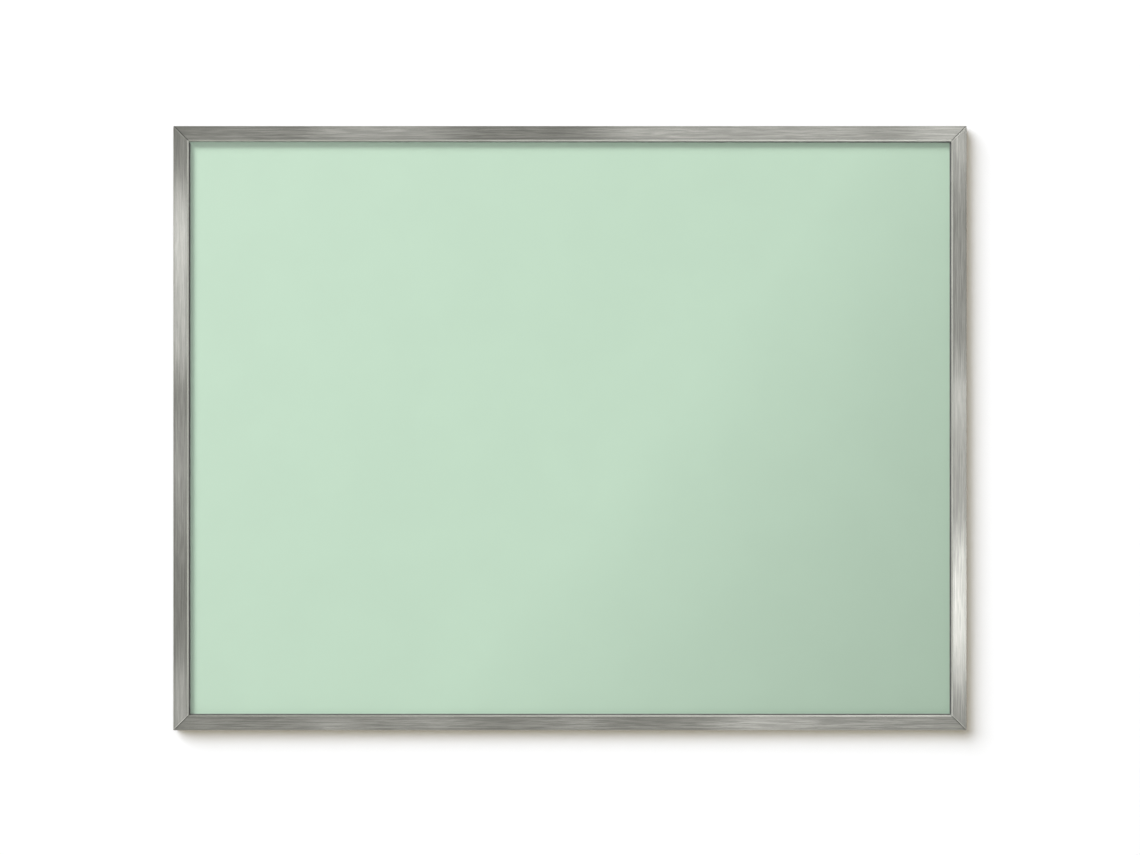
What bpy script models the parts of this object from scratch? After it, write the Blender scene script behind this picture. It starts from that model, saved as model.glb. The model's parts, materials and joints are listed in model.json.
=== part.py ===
"""Framed magnetic glass board, hung on a wall cleat, modelled piece by piece. Metres, +Z up.

The board faces -Y and the wall is the plane y = 0. The origin is the middle of the wall cleat's back
face. Two measures place most pieces: inset is the distance in from the board's outer edge, and depth
is the distance behind the frame's front face.
"""

import math

import bmesh
import bpy
from mathutils import Vector

# Whole board
BOARD_WIDTH = 1.200
BOARD_HEIGHT = 0.914
FIT_GAP = 0.0003
CUT_OVERRUN = 0.001
MERGE_DISTANCE = 0.000001

# Frame extrusion
FACE_WIDTH = 0.0230
FACE_CHAMFER = 0.0024
EDGE_RADIUS = 0.0006
RAIL_WALL = 0.0016
CHAMBER_DEPTH = 0.0016
REAR_FIN = 0.0020
LIP_OVERLAP = 0.0055
PANEL_PLAY = 0.0013

# Corner keys and their set screws
KEY_WIDTH = 0.0074
KEY_THICKNESS = 0.0026
KEY_LEG = 0.050
KEY_CORNER_CUT = 0.0015
KEY_SCREW_FROM_END = 0.016
SET_SCREW_RADIUS = 0.0020
SET_SCREW_LENGTH = 0.0035
SET_SCREW_TIP = 0.0006
SOCKET_RADIUS = 0.0010
SOCKET_DEPTH = 0.0012

# Glazing gasket
GASKET_THICKNESS = 0.0012
GASKET_HEEL = 0.0024
GASKET_REVEAL_SIDES = 0.0020
GASKET_REVEAL_TOP = 0.0002
GASKET_REVEAL_BOTTOM = 0.0014
GROOVE_INSET = 0.0040
GROOVE_DEPTH = 0.0012
BARB_WIDTH = 0.0010

# Layers of the writing panel, front to back
GLASS_THICKNESS = 0.0040
GLASS_ARRIS = 0.0004
COAT_THICKNESS = 0.0003
COAT_MARGIN = 0.0010
STEEL_THICKNESS = 0.0006
CORE_THICKNESS = 0.0040
REAR_SHEET_THICKNESS = 0.0005

# Bowed springs that press the panel forward
SPRING_LENGTH = 0.064
SPRING_WIDTH = 0.0080
SPRING_STRIP = 0.0005
SPRING_BOW = 0.0013
SPRING_TAB = 0.0050
SPRING_FROM_CORNER = 0.220
STILE_SPRING_FROM_CORNER = 0.247

# Cleat pair
CLEAT_THICKNESS = 0.0018
CLEAT_LEAD_IN = 0.0006
BOARD_CLEAT_FROM_CORNER = 0.150
BOARD_FLANGE_HEIGHT = 0.0140
BOARD_FLANGE_MARGIN = 0.0007
HOOK_REACH = 0.0120
HOOK_TIP_CLEARANCE = 0.0010
WALL_CLEAT_SHORTER_BY = 0.040
WALL_FLANGE_HEIGHT = 0.030
WALL_SLOT_WIDTH = 0.0055
WALL_SLOT_LENGTH = 0.0140
WALL_SLOT_END = 0.060

# Screws through the board cleat into the top rail
CLEAT_SCREW_RADIUS = 0.0020
CLEAT_SCREW_LENGTH = 0.0100
CLEAT_SCREW_TIP = 0.0014
CLEAT_HEAD_RADIUS = 0.0036
CLEAT_HEAD_HEIGHT = 0.0015
CLEAT_SCREW_END = 0.030

# Rubber bumpers at the foot of the board
BUMPER_RADIUS = 0.0060
BUMPER_EDGE = 0.0010
BUMPER_STEM_RADIUS = 0.0022
BUMPER_BARB_STEP = 0.0008
BUMPER_FROM_CORNER = 0.075

# Counts, and the facets of round shapes
RAIL_SPRING_COUNT = 3
STILE_SPRING_COUNT = 2
CLEAT_SCREW_COUNT = 5
WALL_SLOT_COUNT = 6
HOLE_SIDES = 20
SCREW_SIDES = 20
BUMPER_SIDES = 32
CORNER_STEPS = 3
GASKET_STEPS = 6
SLOT_END_STEPS = 8
SPRING_STEPS = 12
SMOOTH_ANGLE = math.radians(35)

# Shares of the screw head that shape its domed edge, and of the tip that is left flat
HEAD_CROWN_SHARE = 0.72
HEAD_SIDE_SHARE = 0.45
TIP_FLAT_SHARE = 0.35

# Depths of each layer behind the front face of the frame
NOSE_DEPTH = 2 * RAIL_WALL + GROOVE_DEPTH + CHAMBER_DEPTH
GASKET_FRONT = NOSE_DEPTH + FIT_GAP
GLASS_FRONT = GASKET_FRONT + GASKET_THICKNESS + FIT_GAP
COAT_FRONT = GLASS_FRONT + GLASS_THICKNESS + FIT_GAP
STEEL_FRONT = COAT_FRONT + COAT_THICKNESS + FIT_GAP
CORE_FRONT = STEEL_FRONT + STEEL_THICKNESS + FIT_GAP
REAR_SHEET_FRONT = CORE_FRONT + CORE_THICKNESS + FIT_GAP
SPRING_FRONT = REAR_SHEET_FRONT + REAR_SHEET_THICKNESS + FIT_GAP
LIP_FRONT = SPRING_FRONT + SPRING_BOW + SPRING_STRIP + FIT_GAP
LIP_REAR = LIP_FRONT + RAIL_WALL
RAIL_DEPTH = LIP_REAR + REAR_FIN
KEY_ROOM_FRONT = LIP_FRONT - KEY_THICKNESS - 2 * FIT_GAP
CLEAT_FRONT = LIP_REAR + FIT_GAP
HOOK_FRONT = CLEAT_FRONT + CLEAT_THICKNESS + FIT_GAP
HOOK_REAR = HOOK_FRONT + CLEAT_THICKNESS
WALL_DEPTH = HOOK_REAR + FIT_GAP

# Insets from the outer edge of the board
KEY_ROOM_END = RAIL_WALL + KEY_WIDTH + 2 * FIT_GAP
KEY_ROOM_MIDDLE = (RAIL_WALL + KEY_ROOM_END) / 2
KEY_ROOM_OUTSIDE = KEY_ROOM_END + RAIL_WALL
PANEL_EDGE = KEY_ROOM_OUTSIDE + PANEL_PLAY
LIP_END = PANEL_EDGE + LIP_OVERLAP
LIP_OVERHANG_MIDDLE = (KEY_ROOM_OUTSIDE + LIP_END) / 2
GROOVE_WIDTH = BARB_WIDTH + 2 * FIT_GAP
GROOVE_MIDDLE = FACE_WIDTH - RAIL_WALL - GROOVE_INSET
KEY_SCREW_SPOT = KEY_LEG - KEY_SCREW_FROM_END
BOARD_FLANGE_TOP = RAIL_WALL + BOARD_FLANGE_MARGIN
SHELF_BOTTOM = BOARD_FLANGE_TOP + BOARD_FLANGE_HEIGHT
WALL_LIP_TOP = SHELF_BOTTOM + FIT_GAP
HOOK_TIP = SHELF_BOTTOM + HOOK_REACH
WALL_SHELF_TOP = HOOK_TIP + HOOK_TIP_CLEARANCE
WALL_FLANGE_BOTTOM = WALL_SHELF_TOP + WALL_FLANGE_HEIGHT

# Lengths cut to suit the board
BOARD_CLEAT_LENGTH = BOARD_WIDTH - 2 * BOARD_CLEAT_FROM_CORNER
WALL_CLEAT_LENGTH = BOARD_CLEAT_LENGTH - WALL_CLEAT_SHORTER_BY

# The middle of the wall flange is the origin, which sets the height of the board
BOARD_TOP = WALL_SHELF_TOP + WALL_FLANGE_HEIGHT / 2
BOARD_MIDDLE = BOARD_TOP - BOARD_HEIGHT / 2
BOARD_BOTTOM = BOARD_TOP - BOARD_HEIGHT

# Two faces cut at 45 degrees stand FIT_GAP apart when each is moved back along its rail by this
MITRE_SHIFT = FIT_GAP / math.sqrt(2)

# Colour, metallic and roughness of each finish
FINISHES = {
    "brushed_aluminium": ((0.55, 0.55, 0.53), 1.0, 0.34),
    "clear_glass": ((0.60, 0.76, 0.62), 0.0, 0.06),
    "mint_enamel": ((0.55, 0.71, 0.57), 0.0, 0.40),
    "galvanised_steel": ((0.60, 0.62, 0.63), 1.0, 0.42),
    "fibreboard": ((0.42, 0.28, 0.16), 0.0, 0.85),
    "black_rubber": ((0.03, 0.03, 0.03), 0.0, 0.75),
    "spring_steel": ((0.33, 0.34, 0.36), 1.0, 0.35),
    "zinc_steel": ((0.66, 0.67, 0.68), 1.0, 0.30),
    "mill_aluminium": ((0.72, 0.73, 0.74), 1.0, 0.45),
}


def clear_scene():
    """Removes whatever the scene starts with."""
    for thing in list(bpy.data.objects):
        bpy.data.objects.remove(thing, do_unlink=True)


def make_finishes():
    """One Principled material for each finish."""
    made = {}
    for name, (colour, metallic, roughness) in FINISHES.items():
        material = bpy.data.materials.new(name)
        material.use_nodes = True
        shader = material.node_tree.nodes["Principled BSDF"]
        shader.inputs["Base Color"].default_value = (*colour, 1.0)
        shader.inputs["Metallic"].default_value = metallic
        shader.inputs["Roughness"].default_value = roughness
        material.diffuse_color = (*colour, 1.0)
        made[name] = material
    return made


def depth_to_y(depth):
    """World Y of a depth behind the front face of the frame."""
    return depth - WALL_DEPTH


def add_empty(name, parent=None):
    """An empty that carries the pieces of one body."""
    holder = bpy.data.objects.new(name, None)
    bpy.context.scene.collection.objects.link(holder)
    holder.parent = parent
    return holder


def add_object(name, bm, place, parent, finish=None, smooth=False):
    """Makes the mesh an object at place, a pair of its location and its turn about Y."""
    mesh = bpy.data.meshes.new(name)
    bm.to_mesh(mesh)
    bm.free()
    if smooth:
        mesh.shade_smooth()
        mesh.set_sharp_from_angle(angle=SMOOTH_ANGLE)
    made = bpy.data.objects.new(name, mesh)
    bpy.context.scene.collection.objects.link(made)
    made.location, made.rotation_euler[1] = place
    made.parent = parent
    if finish:
        mesh.materials.append(finish)
    return made


def cut(target, bm, place, label):
    """Takes the mesh out of the target with a Boolean on flat triangles, and hides the cutter."""
    cutter = add_object(f"{target.name}_{label}_cutter", bm, place, target.parent)
    cutter.hide_render = True
    cutter.display_type = "WIRE"
    cutter.modifiers.new("flat_triangles", "TRIANGULATE")
    if not target.modifiers:
        target.modifiers.new("flat_triangles", "TRIANGULATE")
    boolean = target.modifiers.new(label, "BOOLEAN")
    boolean.operation = "DIFFERENCE"
    boolean.solver = "EXACT"
    boolean.object = cutter


def side_place(side):
    """Where a side's own frame stands: X along the side, -Z inwards, on its outer edge."""
    places = {
        "top": ((0, 0, BOARD_TOP), 0),
        "right": ((BOARD_WIDTH / 2, 0, BOARD_MIDDLE), math.pi / 2),
        "bottom": ((0, 0, BOARD_BOTTOM), math.pi),
        "left": ((-BOARD_WIDTH / 2, 0, BOARD_MIDDLE), -math.pi / 2),
    }
    return places[side]


def side_length(side):
    """Outer length of a side of the frame."""
    return BOARD_WIDTH if side in ("top", "bottom") else BOARD_HEIGHT


def corner_place(corner):
    """Where a corner's own frame stands: the board lies towards its -X and -Z."""
    right, left = BOARD_WIDTH / 2, -BOARD_WIDTH / 2
    places = {
        "top_right": ((right, 0, BOARD_TOP), 0),
        "bottom_right": ((right, 0, BOARD_BOTTOM), math.pi / 2),
        "bottom_left": ((left, 0, BOARD_BOTTOM), math.pi),
        "top_left": ((left, 0, BOARD_TOP), -math.pi / 2),
    }
    return places[corner]


def world_spot(place, x, z, y=0):
    """World location of a spot whose x and z are in the frame of a side or a corner."""
    start, turn = place
    turned_x = x * math.cos(turn) + z * math.sin(turn)
    turned_z = z * math.cos(turn) - x * math.sin(turn)
    return start[0] + turned_x, y, start[2] + turned_z


def arc(centre, radius, start, end, steps):
    """Points on an arc, angles in radians, both ends included."""
    angles = [start + (end - start) * step / steps for step in range(steps + 1)]
    return [(centre[0] + radius * math.cos(a), centre[1] + radius * math.sin(a)) for a in angles]


def circle(centre, radius, sides):
    """Points round a circle, the last one left out because it is the first."""
    return arc(centre, radius, 0, 2 * math.pi, sides)[:-1]


def spread(count, reach):
    """Places of count things along a length, centred on zero, the outer two this far apart."""
    return [reach * (number / (count - 1) - 1 / 2) for number in range(count)]


def face_outwards(bm):
    """Turns the faces of one closed body to point out of it."""
    bmesh.ops.recalc_face_normals(bm, faces=bm.faces)
    if bm.calc_volume(signed=True) < 0:
        bmesh.ops.reverse_faces(bm, faces=bm.faces)


def extruded(loops, move_far_end):
    """A closed body: the flat loops filled, extruded, and the far end moved."""
    bm = bmesh.new()
    edges = []
    for loop in loops:
        verts = [bm.verts.new(point) for point in loop]
        for start, end in zip(verts, verts[1:] + verts[:1]):
            edges.append(bm.edges.new((start, end)))
    bmesh.ops.triangle_fill(bm, use_beauty=True, use_dissolve=False, edges=edges)
    far = bmesh.ops.extrude_face_region(bm, geom=bm.faces[:])
    for item in far["geom"]:
        if isinstance(item, bmesh.types.BMVert):
            item.co = move_far_end(item.co)
    face_outwards(bm)
    return bm


def mitred(section, length):
    """A strip along one side, its loops of (inset, depth) points running out to the mitres."""
    loops = []
    for loop in section:
        ends = [(inset + MITRE_SHIFT - length / 2, depth_to_y(depth), -inset) for inset, depth in loop]
        loops.append(ends)
    return extruded(loops, lambda co: Vector((-co.x, co.y, co.z)))


def squared(section, length):
    """A strip with square ends, its loops given as (inset, depth) points."""
    loops = [[(-length / 2, depth_to_y(depth), -inset) for inset, depth in loop] for loop in section]
    return extruded(loops, lambda co: Vector((co.x + length, co.y, co.z)))


def slab(loops, front, thickness):
    """A flat piece whose loops are (x, z) points, from the depth of its front face."""
    drawn = [[(x, depth_to_y(front), z) for x, z in loop] for loop in loops]
    return extruded(drawn, lambda co: Vector((co.x, co.y + thickness, co.z)))


def turned(profile, sides):
    """A round piece about Y, from (radius, y) points that start and end on the axis."""
    bm = bmesh.new()
    verts = [bm.verts.new((radius, along, 0)) for radius, along in profile]
    edges = [bm.edges.new(pair) for pair in zip(verts, verts[1:])]
    bmesh.ops.spin(
        bm,
        geom=verts + edges,
        axis=(0, 1, 0),
        cent=(0, 0, 0),
        steps=sides,
        angle=2 * math.pi,
    )
    bmesh.ops.remove_doubles(bm, verts=bm.verts, dist=MERGE_DISTANCE)
    face_outwards(bm)
    return bm


def cutters(outlines, front, rear):
    """Separate cutters along Y, one for each (x, z) outline, between two depths."""
    bm = bmesh.new()
    mesh = bpy.data.meshes.new("cutter")
    for outline in outlines:
        single = slab([outline], front, rear - front)
        single.to_mesh(mesh)
        single.free()
        bm.from_mesh(mesh)
    bpy.data.meshes.remove(mesh)
    return bm


def drills(spots, radius, front, rear):
    """Round cutters at (x, z) spots, between two depths."""
    return cutters([circle(spot, radius, HOLE_SIDES) for spot in spots], front, rear)


def nose_chamber():
    """The hollow behind the face, stepping forward to leave metal round the gasket groove."""
    inner = FACE_WIDTH - RAIL_WALL
    slope = FACE_WIDTH - FACE_CHAMFER - RAIL_WALL * math.sqrt(2)
    rear = NOSE_DEPTH - RAIL_WALL
    step_depth = NOSE_DEPTH - GROOVE_DEPTH - RAIL_WALL
    step_reach = GROOVE_WIDTH / 2 + RAIL_WALL
    return [
        (RAIL_WALL, RAIL_WALL),
        (slope + RAIL_WALL, RAIL_WALL),
        (inner, inner - slope),
        (inner, rear),
        (GROOVE_MIDDLE + step_reach, rear),
        (GROOVE_MIDDLE + step_reach, step_depth),
        (GROOVE_MIDDLE - step_reach, step_depth),
        (GROOVE_MIDDLE - step_reach, rear),
        (RAIL_WALL, rear),
    ]


def key_chamber():
    """The hollow in front of the rear lip, which holds the corner keys."""
    return [
        (RAIL_WALL, KEY_ROOM_FRONT),
        (KEY_ROOM_END, KEY_ROOM_FRONT),
        (KEY_ROOM_END, LIP_FRONT),
        (RAIL_WALL, LIP_FRONT),
    ]


def rail_section():
    """The frame extrusion: face, nose, panel channel, rear lip and rear fin, with its two chambers."""
    groove_floor = NOSE_DEPTH - GROOVE_DEPTH
    outline = arc((EDGE_RADIUS, EDGE_RADIUS), EDGE_RADIUS, math.pi, 1.5 * math.pi, CORNER_STEPS)
    outline += [
        (FACE_WIDTH - FACE_CHAMFER, 0),
        (FACE_WIDTH, FACE_CHAMFER),
        (FACE_WIDTH, NOSE_DEPTH),
        (GROOVE_MIDDLE + GROOVE_WIDTH / 2, NOSE_DEPTH),
        (GROOVE_MIDDLE + GROOVE_WIDTH / 2, groove_floor),
        (GROOVE_MIDDLE - GROOVE_WIDTH / 2, groove_floor),
        (GROOVE_MIDDLE - GROOVE_WIDTH / 2, NOSE_DEPTH),
        (RAIL_WALL, NOSE_DEPTH),
        (RAIL_WALL, KEY_ROOM_FRONT - RAIL_WALL),
        (KEY_ROOM_OUTSIDE, KEY_ROOM_FRONT - RAIL_WALL),
        (KEY_ROOM_OUTSIDE, LIP_FRONT),
        (LIP_END, LIP_FRONT),
        (LIP_END, LIP_REAR),
        (RAIL_WALL, LIP_REAR),
        (RAIL_WALL, RAIL_DEPTH),
        (0, RAIL_DEPTH),
    ]
    return [outline, nose_chamber(), key_chamber()]


def make_rail(name, side, finishes, parent):
    """One mitred length of the frame, drilled through the rear lip for its key screws."""
    length = side_length(side)
    place = side_place(side)
    body = mitred(rail_section(), length)
    rail = add_object(name, body, place, parent, finishes["brushed_aluminium"], smooth=True)
    reach = length / 2 - KEY_SCREW_SPOT
    spots = [(-reach, -KEY_ROOM_MIDDLE), (reach, -KEY_ROOM_MIDDLE)]
    front = LIP_FRONT - CUT_OVERRUN
    rear = LIP_REAR + CUT_OVERRUN
    cut(rail, drills(spots, SET_SCREW_RADIUS + FIT_GAP, front, rear), place, "key_screws")
    return rail


def cleat_screw_spots():
    """Where the board cleat is screwed to the top rail, in the top side's own frame."""
    reach = BOARD_CLEAT_LENGTH - 2 * CLEAT_SCREW_END
    return [(x, -KEY_ROOM_MIDDLE) for x in spread(CLEAT_SCREW_COUNT, reach)]


def bumper_spots():
    """Where the bumpers push into the bottom rail, in the bottom side's own frame."""
    reach = BOARD_WIDTH / 2 - BUMPER_FROM_CORNER
    return [(-reach, -LIP_OVERHANG_MIDDLE), (reach, -LIP_OVERHANG_MIDDLE)]


def make_frame(finishes, parent):
    """The four mitred lengths, with the cleat screw holes at the top and bumper holes at the foot."""
    top_rail = make_rail("top_rail", "top", finishes, parent)
    front = KEY_ROOM_FRONT - RAIL_WALL - CUT_OVERRUN
    rear = LIP_REAR + CUT_OVERRUN
    holes = drills(cleat_screw_spots(), CLEAT_SCREW_RADIUS + FIT_GAP, front, rear)
    cut(top_rail, holes, side_place("top"), "cleat_screws")
    bottom_rail = make_rail("bottom_rail", "bottom", finishes, parent)
    front = LIP_FRONT - CUT_OVERRUN
    holes = drills(bumper_spots(), BUMPER_STEM_RADIUS + FIT_GAP, front, rear)
    cut(bottom_rail, holes, side_place("bottom"), "bumpers")
    make_rail("left_stile", "left", finishes, parent)
    make_rail("right_stile", "right", finishes, parent)


def make_corner(corner, finishes, parent):
    """An L-shaped key across a mitre and the two set screws that lock it."""
    outer = RAIL_WALL + FIT_GAP
    inner = outer + KEY_WIDTH
    outline = [
        (-outer - KEY_CORNER_CUT, -outer),
        (-KEY_LEG, -outer),
        (-KEY_LEG, -inner),
        (-inner, -inner),
        (-inner, -KEY_LEG),
        (-outer, -KEY_LEG),
        (-outer, -outer - KEY_CORNER_CUT),
    ]
    spots = [(-KEY_SCREW_SPOT, -KEY_ROOM_MIDDLE), (-KEY_ROOM_MIDDLE, -KEY_SCREW_SPOT)]
    holes = [circle(spot, SET_SCREW_RADIUS + FIT_GAP, HOLE_SIDES) for spot in spots]
    key = slab([outline, *holes], KEY_ROOM_FRONT + FIT_GAP, KEY_THICKNESS)
    place = corner_place(corner)
    add_object(f"corner_key_{corner}", key, place, parent, finishes["zinc_steel"])
    tip = depth_to_y(KEY_ROOM_FRONT + FIT_GAP)
    for number, (x, z) in enumerate(spots, 1):
        name = f"key_screw_{corner}_{number}"
        spot = world_spot(place, x, z, tip)
        add_object(name, set_screw(), (spot, 0), parent, finishes["zinc_steel"], smooth=True)


def set_screw():
    """A short headless screw with a chamfered tip and a socket, its tip at y = 0."""
    profile = [
        (0, 0),
        (SET_SCREW_RADIUS - SET_SCREW_TIP, 0),
        (SET_SCREW_RADIUS, SET_SCREW_TIP),
        (SET_SCREW_RADIUS, SET_SCREW_LENGTH),
        (SOCKET_RADIUS, SET_SCREW_LENGTH),
        (SOCKET_RADIUS, SET_SCREW_LENGTH - SOCKET_DEPTH),
        (0, SET_SCREW_LENGTH - SOCKET_DEPTH),
    ]
    return turned(profile, SCREW_SIDES)


def gasket_section(reveal):
    """A flat strip under the nose with a barb in the groove and a rounded lip that shows."""
    rear = GASKET_FRONT + GASKET_THICKNESS
    radius = GASKET_THICKNESS / 2
    outer = GROOVE_MIDDLE - GASKET_HEEL
    barb_tip = NOSE_DEPTH - GROOVE_DEPTH + FIT_GAP
    lip = arc(
        (FACE_WIDTH + reveal - radius, GASKET_FRONT + radius),
        radius,
        math.pi / 2,
        -math.pi / 2,
        GASKET_STEPS,
    )
    return [
        [
            (outer, rear),
            *lip,
            (GROOVE_MIDDLE + BARB_WIDTH / 2, GASKET_FRONT),
            (GROOVE_MIDDLE + BARB_WIDTH / 2, barb_tip),
            (GROOVE_MIDDLE - BARB_WIDTH / 2, barb_tip),
            (GROOVE_MIDDLE - BARB_WIDTH / 2, GASKET_FRONT),
            (outer, GASKET_FRONT),
        ]
    ]


def make_gaskets(finishes, parent):
    """Four mitred strips between the nose and the glass."""
    reveals = {
        "top": GASKET_REVEAL_TOP,
        "bottom": GASKET_REVEAL_BOTTOM,
        "left": GASKET_REVEAL_SIDES,
        "right": GASKET_REVEAL_SIDES,
    }
    for side, reveal in reveals.items():
        strip = mitred(gasket_section(reveal), side_length(side))
        place = side_place(side)
        add_object(f"gasket_{side}", strip, place, parent, finishes["black_rubber"], smooth=True)


def panel_layer(front, thickness, margin, arris):
    """A rectangular layer of the writing panel, its sharp edges taken off by arris."""
    width = BOARD_WIDTH - 2 * (PANEL_EDGE + margin)
    height = BOARD_HEIGHT - 2 * (PANEL_EDGE + margin)
    bm = bmesh.new()
    bmesh.ops.create_cube(bm, size=1)
    bmesh.ops.scale(bm, vec=(width, thickness, height), verts=bm.verts)
    middle = Vector((0, depth_to_y(front + thickness / 2), BOARD_MIDDLE))
    bmesh.ops.translate(bm, vec=middle, verts=bm.verts)
    if arris:
        bmesh.ops.bevel(
            bm,
            geom=bm.edges[:],
            offset=arris,
            offset_type="OFFSET",
            segments=1,
            affect="EDGES",
        )
    return bm


def make_panel(finishes, parent):
    """Glass, colour coat, steel sheet, core board and rear sheet, each bonded to the next."""
    layers = [
        ("glass_panel", GLASS_FRONT, GLASS_THICKNESS, 0, GLASS_ARRIS, "clear_glass"),
        ("colour_coat", COAT_FRONT, COAT_THICKNESS, COAT_MARGIN, 0, "mint_enamel"),
        ("steel_sheet", STEEL_FRONT, STEEL_THICKNESS, COAT_MARGIN, 0, "galvanised_steel"),
        ("core_board", CORE_FRONT, CORE_THICKNESS, 0, 0, "fibreboard"),
        ("rear_sheet", REAR_SHEET_FRONT, REAR_SHEET_THICKNESS, 0, 0, "galvanised_steel"),
    ]
    for name, front, thickness, margin, arris, finish in layers:
        layer = panel_layer(front, thickness, margin, arris)
        add_object(name, layer, ((0, 0, 0), 0), parent, finishes[finish])


def spring_body():
    """A bowed strip with flat end tabs: its ends on the rear sheet, its crest under the lip."""
    bowed = SPRING_LENGTH - 2 * SPRING_TAB
    line = [(-SPRING_LENGTH / 2, 0)]
    for step in range(SPRING_STEPS + 1):
        share = step / SPRING_STEPS
        rise = SPRING_BOW * (1 - math.cos(2 * math.pi * share)) / 2
        line.append((bowed * (share - 1 / 2), rise))
    line.append((SPRING_LENGTH / 2, 0))
    front_face = [(x, SPRING_FRONT + rise) for x, rise in line]
    rear_face = [(x, depth + SPRING_STRIP) for x, depth in reversed(front_face)]
    start = -KEY_ROOM_OUTSIDE - FIT_GAP
    loop = [(x, depth_to_y(depth), start) for x, depth in front_face + rear_face]
    return extruded([loop], lambda co: Vector((co.x, co.y, co.z - SPRING_WIDTH)))


def make_springs(finishes, parent):
    """Springs wedged between the rear sheet and the rear lip, along all four sides."""
    for side in ("top", "bottom", "left", "right"):
        if side in ("top", "bottom"):
            places = spread(RAIL_SPRING_COUNT, BOARD_WIDTH - 2 * SPRING_FROM_CORNER)
        else:
            places = spread(STILE_SPRING_COUNT, BOARD_HEIGHT - 2 * STILE_SPRING_FROM_CORNER)
        for number, along in enumerate(places, 1):
            name = f"panel_spring_{side}_{number}"
            place = world_spot(side_place(side), along, 0), side_place(side)[1]
            add_object(name, spring_body(), place, parent, finishes["spring_steel"], smooth=True)


def board_cleat_section():
    """A Z: its flange on the top rail's lip, its hook hanging behind the flange."""
    flange_rear = CLEAT_FRONT + CLEAT_THICKNESS
    shelf_top = SHELF_BOTTOM - CLEAT_THICKNESS
    return [
        [
            (BOARD_FLANGE_TOP, CLEAT_FRONT),
            (SHELF_BOTTOM, CLEAT_FRONT),
            (SHELF_BOTTOM, HOOK_FRONT),
            (HOOK_TIP - CLEAT_LEAD_IN, HOOK_FRONT),
            (HOOK_TIP, HOOK_FRONT + CLEAT_LEAD_IN),
            (HOOK_TIP, HOOK_REAR),
            (shelf_top, HOOK_REAR),
            (shelf_top, flange_rear),
            (BOARD_FLANGE_TOP, flange_rear),
        ]
    ]


def wall_cleat_section():
    """The same Z turned over: its flange on the wall, its lip standing up inside the hook."""
    lip_rear = CLEAT_FRONT + CLEAT_THICKNESS
    shelf_bottom = WALL_SHELF_TOP + CLEAT_THICKNESS
    flange_front = WALL_DEPTH - CLEAT_THICKNESS
    return [
        [
            (WALL_LIP_TOP, CLEAT_FRONT),
            (shelf_bottom, CLEAT_FRONT),
            (shelf_bottom, flange_front),
            (WALL_FLANGE_BOTTOM, flange_front),
            (WALL_FLANGE_BOTTOM, WALL_DEPTH),
            (WALL_SHELF_TOP, WALL_DEPTH),
            (WALL_SHELF_TOP, lip_rear),
            (WALL_LIP_TOP + CLEAT_LEAD_IN, lip_rear),
            (WALL_LIP_TOP, lip_rear - CLEAT_LEAD_IN),
        ]
    ]


def wall_slots():
    """Round-ended cutters for the screws that fix the wall cleat, none of them at the middle."""
    radius = WALL_SLOT_WIDTH / 2
    straight = (WALL_SLOT_LENGTH - WALL_SLOT_WIDTH) / 2
    shelf_bottom = WALL_SHELF_TOP + CLEAT_THICKNESS
    middle = -(shelf_bottom + WALL_FLANGE_BOTTOM) / 2
    outlines = []
    for x in spread(WALL_SLOT_COUNT, WALL_CLEAT_LENGTH - 2 * WALL_SLOT_END):
        right = arc((x + straight, middle), radius, -math.pi / 2, math.pi / 2, SLOT_END_STEPS)
        left = arc((x - straight, middle), radius, math.pi / 2, 1.5 * math.pi, SLOT_END_STEPS)
        outlines.append(right + left)
    front = WALL_DEPTH - CLEAT_THICKNESS - CUT_OVERRUN
    return cutters(outlines, front, WALL_DEPTH + CUT_OVERRUN)


def cleat_screw():
    """A pan-head screw with a pointed tip, the underside of its head at y = 0."""
    crown = CLEAT_HEAD_RADIUS * HEAD_CROWN_SHARE
    shoulder = CLEAT_HEAD_HEIGHT * HEAD_SIDE_SHARE
    profile = [
        (0, CLEAT_HEAD_HEIGHT),
        (crown, CLEAT_HEAD_HEIGHT),
        (CLEAT_HEAD_RADIUS, shoulder),
        (CLEAT_HEAD_RADIUS, 0),
        (CLEAT_SCREW_RADIUS, 0),
        (CLEAT_SCREW_RADIUS, CLEAT_SCREW_TIP - CLEAT_SCREW_LENGTH),
        (CLEAT_SCREW_RADIUS * TIP_FLAT_SHARE, -CLEAT_SCREW_LENGTH),
        (0, -CLEAT_SCREW_LENGTH),
    ]
    return turned(profile, SCREW_SIDES)


def make_board_cleat(finishes, parent):
    """The cleat on the back of the top rail, with its screws."""
    place = side_place("top")
    strip = squared(board_cleat_section(), BOARD_CLEAT_LENGTH)
    cleat = add_object("board_cleat", strip, place, parent, finishes["mill_aluminium"])
    front = CLEAT_FRONT - CUT_OVERRUN
    rear = CLEAT_FRONT + CLEAT_THICKNESS + CUT_OVERRUN
    cut(cleat, drills(cleat_screw_spots(), CLEAT_SCREW_RADIUS + FIT_GAP, front, rear), place, "screws")
    under_head = depth_to_y(CLEAT_FRONT + CLEAT_THICKNESS + FIT_GAP)
    for number, (x, z) in enumerate(cleat_screw_spots(), 1):
        spot = (x, under_head, BOARD_TOP + z)
        name = f"cleat_screw_{number}"
        add_object(name, cleat_screw(), (spot, 0), parent, finishes["zinc_steel"], smooth=True)


def make_wall_cleat(finishes, parent):
    """The cleat that is fixed to the wall, with slots for its wall screws."""
    place = side_place("top")
    strip = squared(wall_cleat_section(), WALL_CLEAT_LENGTH)
    cleat = add_object("wall_cleat", strip, place, parent, finishes["mill_aluminium"])
    cut(cleat, wall_slots(), place, "slots")


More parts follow.
